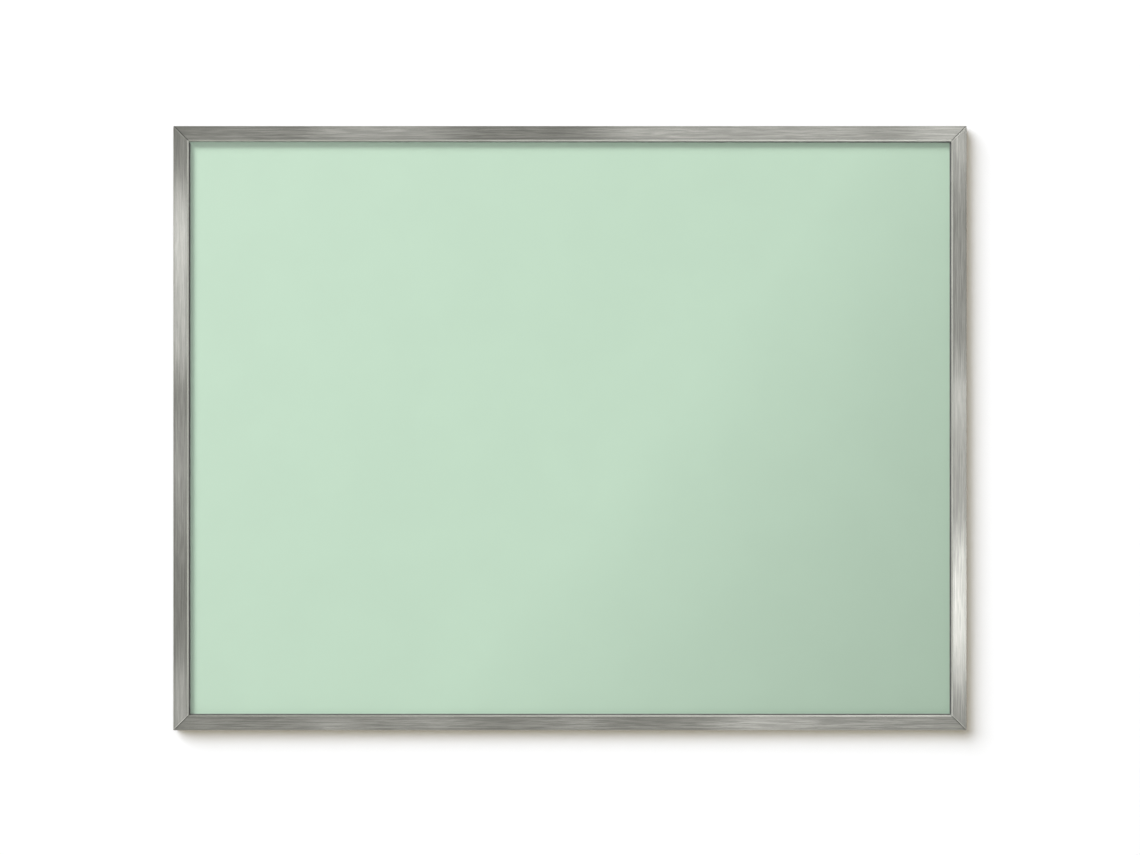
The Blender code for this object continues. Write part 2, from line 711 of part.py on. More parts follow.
def bumper():
    """A rubber pad with a stem and a barb that snaps through the lip, its wall face at y = 0."""
    pad_front = CLEAT_FRONT - WALL_DEPTH
    barb_rear = LIP_FRONT - FIT_GAP - WALL_DEPTH
    barb_front = SPRING_FRONT - WALL_DEPTH
    profile = [
        (0, 0),
        (BUMPER_RADIUS - BUMPER_EDGE, 0),
        (BUMPER_RADIUS, -BUMPER_EDGE),
        (BUMPER_RADIUS, pad_front),
        (BUMPER_STEM_RADIUS, pad_front),
        (BUMPER_STEM_RADIUS, barb_rear),
        (BUMPER_STEM_RADIUS + BUMPER_BARB_STEP, barb_rear),
        (BUMPER_STEM_RADIUS, barb_front),
        (0, barb_front),
    ]
    return turned(profile, BUMPER_SIDES)


def make_bumpers(finishes, parent):
    """Two bumpers that keep the foot of the board off the wall."""
    for name, (x, z) in zip(("bumper_right", "bumper_left"), bumper_spots()):
        spot = world_spot(side_place("bottom"), x, z)
        add_object(name, bumper(), (spot, 0), parent, finishes["black_rubber"], smooth=True)


def main():
    clear_scene()
    finishes = make_finishes()
    wall = add_empty("wall_side")
    board = add_empty("board_side", wall)
    make_frame(finishes, board)
    for corner in ("top_left", "top_right", "bottom_left", "bottom_right"):
        make_corner(corner, finishes, board)
    make_gaskets(finishes, board)
    make_panel(finishes, board)
    make_springs(finishes, board)
    make_board_cleat(finishes, board)
    make_bumpers(finishes, board)
    make_wall_cleat(finishes, wall)


main()
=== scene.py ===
"""Looks of a framed magnetic glass board: its finishes, its fine hardware, and the studio it hangs in."""

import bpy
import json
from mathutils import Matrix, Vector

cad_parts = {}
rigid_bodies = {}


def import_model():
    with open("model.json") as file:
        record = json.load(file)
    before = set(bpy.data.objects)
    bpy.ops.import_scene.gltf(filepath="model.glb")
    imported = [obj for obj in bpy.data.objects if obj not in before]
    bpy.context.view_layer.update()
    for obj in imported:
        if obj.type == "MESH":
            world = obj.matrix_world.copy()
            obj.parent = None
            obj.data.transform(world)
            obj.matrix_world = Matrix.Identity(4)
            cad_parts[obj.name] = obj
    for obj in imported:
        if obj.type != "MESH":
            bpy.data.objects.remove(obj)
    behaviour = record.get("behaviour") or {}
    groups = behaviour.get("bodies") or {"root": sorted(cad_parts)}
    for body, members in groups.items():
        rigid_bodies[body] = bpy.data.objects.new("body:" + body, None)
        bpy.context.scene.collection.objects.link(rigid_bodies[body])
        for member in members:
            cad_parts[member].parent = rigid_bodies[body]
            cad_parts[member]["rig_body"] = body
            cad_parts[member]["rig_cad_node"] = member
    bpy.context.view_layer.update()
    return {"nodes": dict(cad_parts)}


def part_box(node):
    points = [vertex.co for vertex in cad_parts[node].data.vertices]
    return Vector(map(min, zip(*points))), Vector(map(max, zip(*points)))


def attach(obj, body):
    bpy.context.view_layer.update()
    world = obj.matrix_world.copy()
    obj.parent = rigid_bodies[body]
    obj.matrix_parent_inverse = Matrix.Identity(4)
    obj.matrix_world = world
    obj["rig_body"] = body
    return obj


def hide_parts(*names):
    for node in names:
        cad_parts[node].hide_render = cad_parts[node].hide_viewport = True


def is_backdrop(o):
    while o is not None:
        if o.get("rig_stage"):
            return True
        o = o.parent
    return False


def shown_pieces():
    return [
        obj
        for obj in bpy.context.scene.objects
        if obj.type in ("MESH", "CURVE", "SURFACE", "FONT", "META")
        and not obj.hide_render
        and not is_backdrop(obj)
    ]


bl_info = {
    "name": "Glass Board Looks",
    "version": (1, 0, 0),
    "blender": (4, 5, 0),
    "location": "3D View > Sidebar > Glass Board",
    "description": "Dresses the packed glass board and sets up the wall, floor, lamps and camera",
    "category": "Object",
}

import json
import math

import bmesh
import bpy
from bpy.props import FloatProperty, FloatVectorProperty, PointerProperty
from mathutils import Matrix, Vector

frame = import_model()

# Places that the frame gives, directions, and the turn that lays an upright cylinder along Y
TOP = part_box("top_rail")[1].z
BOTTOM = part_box("bottom_rail")[0].z
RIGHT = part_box("right_stile")[1].x
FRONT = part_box("top_rail")[0].y
MIDDLE = Vector((0, FRONT, (TOP + BOTTOM) / 2))
HALF_HEIGHT = (TOP - BOTTOM) / 2
RIGHTWARDS = Vector((1, 0, 0))
WALLWARDS = Vector((0, 1, 0))
DOWN_RIGHT = Vector((1, 0, -1))
LAID_ALONG_Y = (-math.pi / 2, 0, 0)

# Merging and smoothing
MERGE = 0.00001
FLAT = math.radians(0.5)
SMOOTH = math.radians(35)
EDGE_SEGMENTS = 2

# How faces are told by their normals: square to an axis, in the cut of a mitre, and turned to the front
SQUARE_ON = 0.9
MITRE_SLANT = (0.6, 0.8)
MITRE_LEVEL = 0.01
FACES_FRONT = -0.5

# How far the rounded end of a gasket's lip reaches up from its lowest point
LIP_END = 0.0009

# Key screws: shares of their own radius and length, and the turn in radians from one to the next
KEY_SCREW_SIDES = 32
KEY_SCREW_RIM_SHARE = 0.15
SOCKET_SIDES = 6
SOCKET_SHARE = 0.7
KEY_SCREW_TURN = 0.7

# Cleat screws, in the same way
CLEAT_SCREW_SIDES = 40
HEAD_SHARE = 0.13
SHANK_SHARE = 0.55
CROWN_SHARE = 0.55
CROWN_SEGMENTS = 5
POINT_SHARE = 0.14
TIP_SHARE = 0.35
CLEAT_SCREW_TURN = 0.9

# Bumpers: how far the dimple narrows, and the width in which the ring groove's faces are looked for
DIMPLE_SHARE = 0.8
RING_REACH_SHARE = 1.5

# Finishes. On the brushed frame, FACE_MIDDLE is how far in from the outer edge the middle of a face lies,
# EDGE_SHADE_SPAN is how far from that middle the painted shade along its edges starts and ends, and
# MITRE_SHADOW and MITRE_GLINT are the distances from a mitre over which its line fades out: a dark joint
# with painted shade on a rail's end, a painted highlight on a stile's. BRUSH_LEAN tips the crosswise
# direction towards the wall, so that a rail's side has one as well as its face.
METAL = 1.0
NOT_METAL = 0.0
WHITE = (1, 1, 1, 1)
NOISE_SPAN = (0.3, 0.7)
GLASS_IOR = 1.52
MILL_ANISOTROPY = 0.5
SPANGLE_GRAIN = 105.0
SPANGLE_SWIRL = 170.0
SPANGLE_RAGGED = 0.009
STRAW_TINT = (0.42, 0.34, 0.22, 1.0)
WARM_ZINC = (0.62, 0.60, 0.53, 1.0)
BRUSHED_ROUGHNESS = 0.160
BRUSHED_ANISOTROPY = 0.92
BRUSH_LEAN = 0.5
# Darkens the dark streaks' colour for the clouds and for the painted shade along each face's edges
DULL_AND_SHADE_SHARE = 0.80
FACE_MIDDLE = 0.0103
EDGE_SHADE_SPAN = (0.0055, 0.0103)
MITRE_SHADOW = (0.0009, 0.0018)
MITRE_GLINT = (0.0010, 0.0020)

# The wall, the floor and the grey screen behind the camera
RAYS = ("camera", "diffuse", "glossy", "transmission", "shadow")
WALL_GAP = 0.0003
WALL_SIZE = (9.0, 5.0)
FLOOR_DROP = 1.5
FLOOR_SIZE = (12.0, 12.0)
FLOOR_COLOUR = (0.45, 0.45, 0.445, 1.0)
FLOOR_LIFT = (0.56, 0.56, 0.555, 1.0)
SCREEN_DISTANCE = 5.0
SCREEN_SIZE = (30.0, 20.0)

# Lamps: a WAY leads from the board's middle to the lamp. It is in metres, or a direction for the key and sun.
KEY_WAY = Vector((-0.92, -1.0, 1.08)).normalized()
KEY_DISTANCE = 16.0
KEY_SIZE = 5.5
SUN_WAY = Vector((-0.85, -1.0, 0.78)).normalized()
FILL_WAY = Vector((-0.1, -3.2, 0.25))
FILL_SIZE = 1.0
WALL_FILL_WAY = Vector((-0.25, -3.1, 0.85))
WALL_FILL_SIZE = 2.4
REAR_WAY = Vector((1.2, 2.8, 1.4))
REAR_SIZE = 2.0

# The flag that shades the key: the line along which the light falls off, how far right of the board's middle
# that starts, and the flag's place on the way from there to the key, as a share
FALL_OFF_LINE = Vector((0.55, 0, 0.825))
FALL_OFF_START = 0.11
FLAG_SHARE = 0.130
FLAG_SIZE = 2.2

# Cards that show in gloss only. A card of WATTS_FOR_WHITE watts to the square metre shows as white. A FADE is
# the stretch of a card's X, from 0 to 1, over which its strength goes from one end's to the other's.
WATTS_FOR_WHITE = 4.0
CARD_COLOUR = (0.955, 0.955, 1.0)
CARD_DISTANCE = 1.6
CARD_BREADTH = 4.0
GLARE_RISE = Vector((-0.9, 0, 0.4)).normalized()
GLARE_SIZE = (2.4, 2.0)
GLARE_STRENGTH = 0.55
GLARE_FADE = (0.5, 0.9)
RIDGE_CARD_ACROSS = 1.6
RIDGE_CARD_OUT = 0.8
RIDGE_CARD_SIZE = (2.2, 0.93)
RIDGE_FADE = (0.15, 0.85)

# Highlights on the frame: the rail, the highlight's middle along it from the board's middle, its length
# there, and its strength, where 1 is white
HIGHLIGHTS = [
    ("left_stile", 0.230, 0.270, 0.63),
    ("left_stile", 0.304, 0.068, 0.40),
    ("left_stile", -0.068, 0.160, 0.31),
    ("left_stile", -0.250, 0.120, 0.05),
    ("left_stile", -0.420, 0.110, 0.43),
    ("right_stile", 0.435, 0.100, 0.52),
    ("right_stile", -0.025, 0.240, 0.22),
    ("right_stile", 0.194, 0.120, 0.06),
    ("right_stile", 0.036, 0.068, 0.50),
    ("right_stile", -0.274, 0.213, 1.08),
    ("right_stile", 0.000, 1.000, 0.13),
    ("top_rail", -0.510, 0.120, 0.14),
    ("top_rail", -0.285, 0.200, 0.36),
    ("top_rail", 0.255, 0.405, 0.42),
    ("top_rail", 0.565, 0.100, 0.80),
    ("bottom_rail", -0.565, 0.060, 0.10),
    ("bottom_rail", -0.365, 0.050, 0.47),
    ("bottom_rail", -0.212, 0.050, 0.41),
    ("bottom_rail", 0.004, 0.026, 0.50),
    ("bottom_rail", 0.290, 0.130, 0.42),
    ("bottom_rail", 0.475, 0.230, 0.18),
]

# Brightness of the frame's inner bevel: the rail, and the strength at its left or top end and at the other
RIDGES = [
    ("left_stile", 0.85, 0.72),
    ("right_stile", 1.15, 1.15),
    ("top_rail", 0.45, 2.20),
    ("bottom_rail", 0.00, 2.20),
]


class BoardColours(bpy.types.PropertyGroup):
    """Colours of the finishes."""

    aluminium_light: FloatVectorProperty(
        name="Aluminium, light",
        description="Light streaks of the brushed frame",
        subtype="COLOR",
        default=(0.55, 0.55, 0.495),
    )
    aluminium_dark: FloatVectorProperty(
        name="Aluminium, dark",
        description="Dark streaks of the brushed frame",
        subtype="COLOR",
        default=(0.39, 0.39, 0.35),
    )
    mint: FloatVectorProperty(
        name="Mint coat",
        description="The coat on the back of the glass",
        subtype="COLOR",
        default=(0.550, 0.710, 0.570),
    )
    glass_tint: FloatVectorProperty(
        name="Glass tint",
        description="What the glass lets through",
        subtype="COLOR",
        default=(0.994, 1.0, 0.996),
    )
    rubber: FloatVectorProperty(
        name="Rubber",
        description="Gaskets and bumpers",
        subtype="COLOR",
        default=(0.125, 0.128, 0.124),
    )
    galvanised: FloatVectorProperty(
        name="Galvanised steel",
        description="Rear sheet and steel sheet",
        subtype="COLOR",
        default=(0.56, 0.58, 0.60),
    )
    fibreboard: FloatVectorProperty(
        name="Fibreboard",
        description="Core board",
        subtype="COLOR",
        default=(0.42, 0.28, 0.16),
    )
    spring_steel: FloatVectorProperty(
        name="Spring steel",
        description="Panel springs",
        subtype="COLOR",
        default=(0.30, 0.32, 0.36),
    )
    zinc: FloatVectorProperty(
        name="Zinc plate",
        description="Screws and corner keys",
        subtype="COLOR",
        default=(0.64, 0.65, 0.67),
    )
    mill_aluminium: FloatVectorProperty(
        name="Mill aluminium",
        description="The two cleats, left as extruded",
        subtype="COLOR",
        default=(0.70, 0.71, 0.72),
    )


class BoardSizes(bpy.types.PropertyGroup):
    """Sizes of the fine detail."""

    mitre_edge: FloatProperty(
        name="Mitre edge",
        description="Width of the edge broken along each mitre on the front",
        unit="LENGTH",
        default=0.0005,
    )
    metal_edge: FloatProperty(
        name="Metal edge",
        description="Width of the broken edges of extrusions and strips",
        unit="LENGTH",
        default=0.00015,
    )
    recess_width: FloatProperty(
        name="Recess width",
        description="Width of each arm of the cross recess in a cleat screw",
        unit="LENGTH",
        default=0.0009,
    )
    recess_span: FloatProperty(
        name="Recess span",
        description="Span of the cross recess across the head",
        unit="LENGTH",
        default=0.0036,
    )
    recess_depth: FloatProperty(
        name="Recess depth",
        description="Depth of the cross recess",
        unit="LENGTH",
        default=0.0009,
    )
    socket_span: FloatProperty(
        name="Socket span",
        description="Span across the corners of the hexagon socket in a key screw",
        unit="LENGTH",
        default=0.0023,
    )
    gasket_lean: FloatProperty(
        name="Gasket lean",
        description="How much further the top gasket reaches over the glass at its right end",
        unit="LENGTH",
        default=0.0012,
    )
    groove_depth: FloatProperty(
        name="Bumper groove depth",
        description="Depth of the ring groove and the dimple in a bumper's wall face",
        unit="LENGTH",
        default=0.0004,
    )
    groove_width: FloatProperty(
        name="Bumper groove width",
        description="Width of that ring groove",
        unit="LENGTH",
        default=0.0007,
    )
    groove_from_edge: FloatProperty(
        name="Bumper groove place",
        description="From the rim of the wall face to the ring groove",
        unit="LENGTH",
        default=0.0013,
    )


class BoardStudio(bpy.types.PropertyGroup):
    """The camera, the wall and the light."""

    camera_distance: FloatProperty(
        name="Camera distance",
        description="From the front of the frame to the lens",
        unit="LENGTH",
        default=5.0,
    )
    camera_rise: FloatProperty(
        name="Camera rise",
        description="How far above the board's middle the lens is",
        unit="LENGTH",
        default=0.001,
    )
    view_width: FloatProperty(
        name="View width",
        description="Width of the picture at the front of the frame",
        unit="LENGTH",
        default=1.72425,
    )
    key_power: FloatProperty(
        name="Key power",
        description="Power of the large lamp at the upper left, on the board",
        default=2550.0,
    )
    sun_strength: FloatProperty(
        name="Key on the wall",
        description="Strength of the same light on the wall, which throws the board's shadow",
        default=3.10,
    )
    sun_angle: FloatProperty(
        name="Shadow softness",
        description="Angle that the key spans, as the wall sees it",
        unit="ROTATION",
        default=math.radians(48),
    )
    fill_power: FloatProperty(
        name="Fill power",
        description="Power of the lamp close above the camera, on the board",
        default=41.0,
    )
    wall_fill_power: FloatProperty(
        name="Fill on the wall",
        description="Power of the lamp higher up, on the wall, which fills the board's shadow",
        default=41.0,
    )
    rear_power: FloatProperty(
        name="Rear power",
        description="Power of the lamp behind the wall, which lights the back of the board",
        default=60.0,
    )
    world_level: FloatProperty(
        name="World level",
        description="Strength of the world's even light",
        default=0.04,
    )
    screen_level: FloatProperty(
        name="Screen level",
        description="Brightness of the grey screen that the metal mirrors",
        default=0.41,
    )
    wall_colour: FloatVectorProperty(
        name="Wall colour",
        description="Colour of the wall in the lamps' light",
        subtype="COLOR",
        default=(0.845, 0.880, 0.955),
    )
    wall_lift: FloatVectorProperty(
        name="Wall lift",
        description="What the camera sees on top of that, which brings the lit wall to white",
        subtype="COLOR",
        default=(0.155, 0.120, 0.045),
    )


# Shader building

def feed(tree, socket, value):
    """Links another node's output to the socket, or sets the value on it."""
    if isinstance(value, bpy.types.NodeSocket):
        tree.links.new(value, socket)
    else:
        socket.default_value = value


def own_place(tree):
    """Coordinates in the object's own space."""
    return tree.nodes.new("ShaderNodeTexCoord").outputs["Object"]


def own_axis(tree, axis):
    """One coordinate of the object's own space."""
    parts = tree.nodes.new("ShaderNodeSeparateXYZ")
    tree.links.new(own_place(tree), parts.inputs["Vector"])
    return parts.outputs[axis]


def noise_node(tree, grain, detail=2.0, distortion=0.0):
    """Noise with so many grains to the metre: one number, or one each for X, Y and Z."""
    mapping = tree.nodes.new("ShaderNodeMapping")
    mapping.inputs["Scale"].default_value = grain if isinstance(grain, tuple) else (grain, grain, grain)
    tree.links.new(own_place(tree), mapping.inputs["Vector"])
    made = tree.nodes.new("ShaderNodeTexNoise")
    made.inputs["Scale"].default_value = 1.0
    made.inputs["Detail"].default_value = detail
    made.inputs["Distortion"].default_value = distortion
    tree.links.new(mapping.outputs["Vector"], made.inputs["Vector"])
    return made


def noise(tree, grain, detail=2.0, distortion=0.0):
    """A noise value, from 0 to 1."""
    return noise_node(tree, grain, detail, distortion).outputs["Fac"]


def remap(tree, value, between, gives):
    """The value, with the span between moved smoothly to the one that it gives."""
    made = tree.nodes.new("ShaderNodeMapRange")
    made.interpolation_type = "SMOOTHSTEP"
    for name, number in zip(("From Min", "From Max", "To Min", "To Max"), (*between, *gives)):
        made.inputs[name].default_value = number
    feed(tree, made.inputs["Value"], value)
    return made.outputs["Result"]


def maths(tree, operation, first, second=0.0):
    """One sum on two values."""
    made = tree.nodes.new("ShaderNodeMath")
    made.operation = operation
    feed(tree, made.inputs[0], first)
    feed(tree, made.inputs[1], second)
    return made.outputs["Value"]


def apart(tree, first, second):
    """How far apart two values are."""
    return maths(tree, "ABSOLUTE", maths(tree, "SUBTRACT", first, second))


def weighed(tree, *parts):
    """The sum of the values, each times its weight."""
    total = 0.0
    for value, weight in parts:
        total = maths(tree, "ADD", total, maths(tree, "MULTIPLY", value, weight))
    return total


def mixed(tree, factor, first, second):
    """Two colours mixed by factor."""
    made = tree.nodes.new("ShaderNodeMix")
    made.data_type = "RGBA"
    sockets = {socket.identifier: socket for socket in made.inputs}
    feed(tree, sockets["Factor_Float"], factor)
    feed(tree, sockets["A_Color"], first)
    feed(tree, sockets["B_Color"], second)
    return next(socket for socket in made.outputs if socket.identifier == "Result_Color")


def bumped(tree, height, strength, depth):
    """A normal that follows the height."""
    made = tree.nodes.new("ShaderNodeBump")
    made.inputs["Strength"].default_value = strength
    made.inputs["Distance"].default_value = depth
    tree.links.new(height, made.inputs["Height"])
    return made.outputs["Normal"]


def ray_is(tree, *kinds):
    """1 for a ray of the kinds named, and 0 for any other."""
    path = tree.nodes.new("ShaderNodeLightPath")
    found = 0.0
    for kind in kinds:
        found = maths(tree, "MAXIMUM", found, path.outputs[f"Is {kind} Ray"])
    return found


def glow(tree, colour, strength):
    """Light given off evenly."""
    made = tree.nodes.new("ShaderNodeEmission")
    made.inputs["Color"].default_value = colour
    feed(tree, made.inputs["Strength"], strength)
    return made.outputs["Emission"]


def see_through(tree, tint):
    """A surface that lets light straight through, tinted."""
    made = tree.nodes.new("ShaderNodeBsdfTransparent")
    made.inputs["Color"].default_value = tint
    return made.outputs["BSDF"]


def either(tree, factor, first, second):
    """Two shaders mixed by factor."""
    made = tree.nodes.new("ShaderNodeMixShader")
    tree.links.new(factor, made.inputs["Fac"])
    tree.links.new(first, made.inputs[1])
    tree.links.new(second, made.inputs[2])
    return made.outputs["Shader"]


def opaque(colour):
    """A property's colour with full alpha, as a socket takes it."""
    return (*colour, 1.0)


def shaded(colour, share):
    """The colour made darker or lighter by a share, with full alpha."""
    return opaque(min(1.0, part * share) for part in colour)


def new_surface(name):
    """A material with no shader yet; returns it, its node tree and the output's surface socket."""
    material = bpy.data.materials.new(name)
    material.use_nodes = True
    tree = material.node_tree
    tree.nodes.remove(tree.nodes["Principled BSDF"])
    return material, tree, tree.nodes["Material Output"].inputs["Surface"]


def new_finish(name, metallic):
    """A material with a Principled shader; returns it, its node tree and the shader."""
    material = bpy.data.materials.new(name)
    material.use_nodes = True
    shader = material.node_tree.nodes["Principled BSDF"]
    shader.inputs["Metallic"].default_value = metallic
    return material, material.node_tree, shader


def lay_on(tree, shader, colour, roughness, normal):
    """Gives the shader its colour, roughness and normal."""
    feed(tree, shader.inputs["Base Color"], colour)
    feed(tree, shader.inputs["Roughness"], roughness)
    feed(tree, shader.inputs["Normal"], normal)


# Finishes

def brushed_aluminium(name, along, streak_span, mitre_span, mitre_weight, painted_mitre_colour):
    """Aluminium brushed along X or Z: streaks, clouds, painted edge shade, a painted line at each mitre."""
    colours = bpy.context.scene.board_colours
    material, tree, shader = new_finish(name, METAL)

    def brushing(lengthwise, across):
        """Grains to the metre along the brushing and across it, as one each for X, Y and Z."""
        return (lengthwise, across, across) if along == "X" else (across, across, lengthwise)

    streaks = noise(tree, brushing(lengthwise=26.0, across=680.0), detail=4.0)
    lines = noise(tree, brushing(lengthwise=9.0, across=1100.0), detail=1.0)
    scratches = noise(tree, brushing(lengthwise=60.0, across=3200.0))
    hairlines = noise(tree, brushing(lengthwise=38.0, across=5200.0))
    clouds = noise(tree, brushing(lengthwise=7.0, across=60.0), distortion=0.3)
    grain = weighed(tree, (streaks, 0.7), (lines, 0.3), (hairlines, 0.40))
    base = mixed(
        tree,
        remap(tree, grain, between=streak_span, gives=(0.0, 1.0)),
        opaque(colours.aluminium_dark),
        opaque(colours.aluminium_light),
    )
    # A darker copy of the dark colour: the clouds' duller tone, and the painted shade at the face's edges
    dull_and_shade = shaded(colours.aluminium_dark, DULL_AND_SHADE_SHARE)
    cloudy = mixed(tree, remap(tree, clouds, between=(0.35, 0.70), gives=(0.0, 0.35)), base, dull_and_shade)

    inset_height = maths(tree, "SUBTRACT", HALF_HEIGHT, apart(tree, own_axis(tree, "Z"), MIDDLE.z))
    inset_width = maths(tree, "SUBTRACT", RIGHT, apart(tree, own_axis(tree, "X"), MIDDLE.x))
    from_mitre = apart(tree, inset_height, inset_width)
    # A line along each mitre: on the rails a dark joint with painted shade, on the stiles a painted
    # highlight.
    line = remap(tree, from_mitre, between=mitre_span, gives=(mitre_weight, 0.0))
    joined = mixed(tree, line, cloudy, painted_mitre_colour)
    # Painted shade along both edges of each flat face, growing darker towards each edge
    from_middle = apart(tree, inset_height if along == "X" else inset_width, FACE_MIDDLE)
    painted_edge_shade = remap(tree, from_middle, between=EDGE_SHADE_SPAN, gives=(0.0, 0.5))
    colour = mixed(tree, painted_edge_shade, joined, dull_and_shade)

    uneven = weighed(tree, (streaks, 0.05), (clouds, 0.08))
    roughness = maths(tree, "ADD", uneven, BRUSHED_ROUGHNESS)
    lay_on(tree, shader, colour, roughness, bumped(tree, scratches, strength=0.20, depth=0.00004))
    shader.inputs["Anisotropic"].default_value = BRUSHED_ANISOTROPY
    crosswise = tree.nodes.new("ShaderNodeCombineXYZ")
    crosswise.inputs["Y"].default_value = BRUSH_LEAN
    crosswise.inputs["Z" if along == "X" else "X"].default_value = 1.0
    tree.links.new(crosswise.outputs["Vector"], shader.inputs["Tangent"])
    return material


def brushed_across():
    """The top and bottom rails, brushed along X, each mitre a dark line: a joint with painted shade."""
    shadow = shaded(bpy.context.scene.board_colours.aluminium_dark, 0.15)
    return brushed_aluminium(
        "brushed_across",
        "X",
        streak_span=(0.61, 0.79),
        mitre_span=MITRE_SHADOW,
        mitre_weight=0.95,
        painted_mitre_colour=shadow,
    )


def brushed_upright():
    """The stiles, brushed along Z, each mitre a bright line of painted highlight."""
    glint = shaded(bpy.context.scene.board_colours.aluminium_light, 1.7)
    return brushed_aluminium(
        "brushed_upright",
        "Z",
        streak_span=(0.53, 0.87),
        mitre_span=MITRE_GLINT,
        mitre_weight=0.8,
        painted_mitre_colour=glint,
    )


def toughened_glass():
    """Glass that shows the coat behind it, with a sharp reflection on its outer face and faint smears."""
    colours = bpy.context.scene.board_colours
    material, tree, surface = new_surface("toughened_glass")
    mirror = tree.nodes.new("ShaderNodeBsdfGlossy")
    mirror.inputs["Color"].default_value = WHITE
    smears = noise(tree, grain=(6.0, 1.0, 2.5), detail=4.0, distortion=0.8)
    feed(tree, mirror.inputs["Roughness"], remap(tree, smears, between=(0.45, 0.75), gives=(0.02, 0.09)))
    fresnel = tree.nodes.new("ShaderNodeFresnel")
    fresnel.inputs["IOR"].default_value = GLASS_IOR
    geometry = tree.nodes.new("ShaderNodeNewGeometry")
    outside = maths(tree, "SUBTRACT", 1.0, geometry.outputs["Backfacing"])
    share = maths(tree, "MULTIPLY", fresnel.outputs["Fac"], outside)
    through = see_through(tree, opaque(colours.glass_tint))
    tree.links.new(either(tree, share, through, mirror.outputs["BSDF"]), surface)
    return material


def fired_mint():
    """Fired enamel: an even mint with a faint mottle and a fine grain."""
    colours = bpy.context.scene.board_colours
    material, tree, shader = new_finish("fired_mint", NOT_METAL)
    mottle = noise(tree, grain=9.0, detail=4.0, distortion=0.3)
    grain = noise(tree, grain=1400.0)
    base = mixed(
        tree,
        remap(tree, mottle, between=NOISE_SPAN, gives=(0.0, 1.0)),
        shaded(colours.mint, 0.985),
        opaque(colours.mint),
    )
    roughness = remap(tree, grain, between=NOISE_SPAN, gives=(0.40, 0.50))
    lay_on(tree, shader, base, roughness, bumped(tree, grain, strength=0.08, depth=0.00002))
    return material


def zinc_spangle():
    """Zinc spangle: crystals of unlike brightness and gloss, with handling scuffs."""
    colours = bpy.context.scene.board_colours
    material, tree, shader = new_finish("zinc_spangle", METAL)
    swirl = noise_node(tree, grain=SPANGLE_SWIRL, detail=4.0)
    ragged = tree.nodes.new("ShaderNodeVectorMath")
    ragged.operation = "MULTIPLY_ADD"
    tree.links.new(swirl.outputs["Color"], ragged.inputs[0])
    ragged.inputs[1].default_value = (SPANGLE_RAGGED, SPANGLE_RAGGED, SPANGLE_RAGGED)
    tree.links.new(own_place(tree), ragged.inputs[2])
    crystals = tree.nodes.new("ShaderNodeTexVoronoi")
    crystals.inputs["Scale"].default_value = SPANGLE_GRAIN
    tree.links.new(ragged.outputs["Vector"], crystals.inputs["Vector"])
    chance = tree.nodes.new("ShaderNodeSeparateColor")
    tree.links.new(crystals.outputs["Color"], chance.inputs["Color"])
    feather = noise(tree, grain=(260.0, 260.0, 90.0), detail=4.0, distortion=1.2)
    scuffs = noise(tree, grain=(5.0, 5.0, 34.0), detail=6.0, distortion=0.6)

    crystal = weighed(tree, (chance.outputs["Red"], 1.0), (feather, 0.45))
    base = mixed(
        tree,
        remap(tree, crystal, between=(0.2, 1.25), gives=(0.0, 1.0)),
        shaded(colours.galvanised, 0.84),
        shaded(colours.galvanised, 1.12),
    )
    worn = remap(tree, scuffs, between=(0.55, 0.80), gives=(0.0, 0.5))
    colour = mixed(tree, worn, base, shaded(colours.galvanised, 0.85))
    gloss = weighed(tree, (chance.outputs["Green"], 1.0), (scuffs, 0.6))
    roughness = remap(tree, gloss, between=(0.1, 1.5), gives=(0.30, 0.56))
    lay_on(tree, shader, colour, roughness, bumped(tree, crystal, strength=0.12, depth=0.00008))
    return material


def pressed_fibre():
    """Pressed wood fibre."""
    colours = bpy.context.scene.board_colours
    material, tree, shader = new_finish("pressed_fibre", NOT_METAL)
    fibres = noise(tree, grain=(420.0, 900.0, 420.0), detail=6.0, distortion=1.5)
    base = mixed(
        tree,
        remap(tree, fibres, between=NOISE_SPAN, gives=(0.0, 1.0)),
        shaded(colours.fibreboard, 0.72),
        shaded(colours.fibreboard, 1.25),
    )
    roughness = remap(tree, fibres, between=NOISE_SPAN, gives=(0.78, 0.95))
    lay_on(tree, shader, base, roughness, bumped(tree, fibres, strength=0.5, depth=0.0002))
    return material


def moulded_rubber():
    """Moulded rubber, matt, with a greyish bloom and a fine grain."""
    colours = bpy.context.scene.board_colours
    material, tree, shader = new_finish("moulded_rubber", NOT_METAL)
    bloom = noise(tree, grain=70.0, detail=4.0, distortion=0.5)
    grain = noise(tree, grain=2600.0)
    base = mixed(
        tree,
        remap(tree, bloom, between=(0.45, 0.8), gives=(0.0, 0.5)),
        opaque(colours.rubber),
        shaded(colours.rubber, 2.0),
    )
    roughness = remap(tree, bloom, between=NOISE_SPAN, gives=(0.58, 0.80))
    lay_on(tree, shader, base, roughness, bumped(tree, grain, strength=0.3, depth=0.00006))
    return material


def blued_strip():
    """Rolled strip, blued unevenly, with fine rolling marks."""
    colours = bpy.context.scene.board_colours
    material, tree, shader = new_finish("blued_strip", METAL)
    heat = noise(tree, grain=38.0, detail=3.0, distortion=0.7)
    marks = noise(tree, grain=(300.0, 900.0, 300.0), detail=5.0)
    tempered = remap(tree, heat, between=(0.45, 0.75), gives=(0.0, 0.55))
    base = mixed(tree, tempered, opaque(colours.spring_steel), STRAW_TINT)
    roughness = remap(tree, marks, between=NOISE_SPAN, gives=(0.26, 0.46))
    lay_on(tree, shader, base, roughness, bumped(tree, marks, strength=0.2, depth=0.00005))
    return material


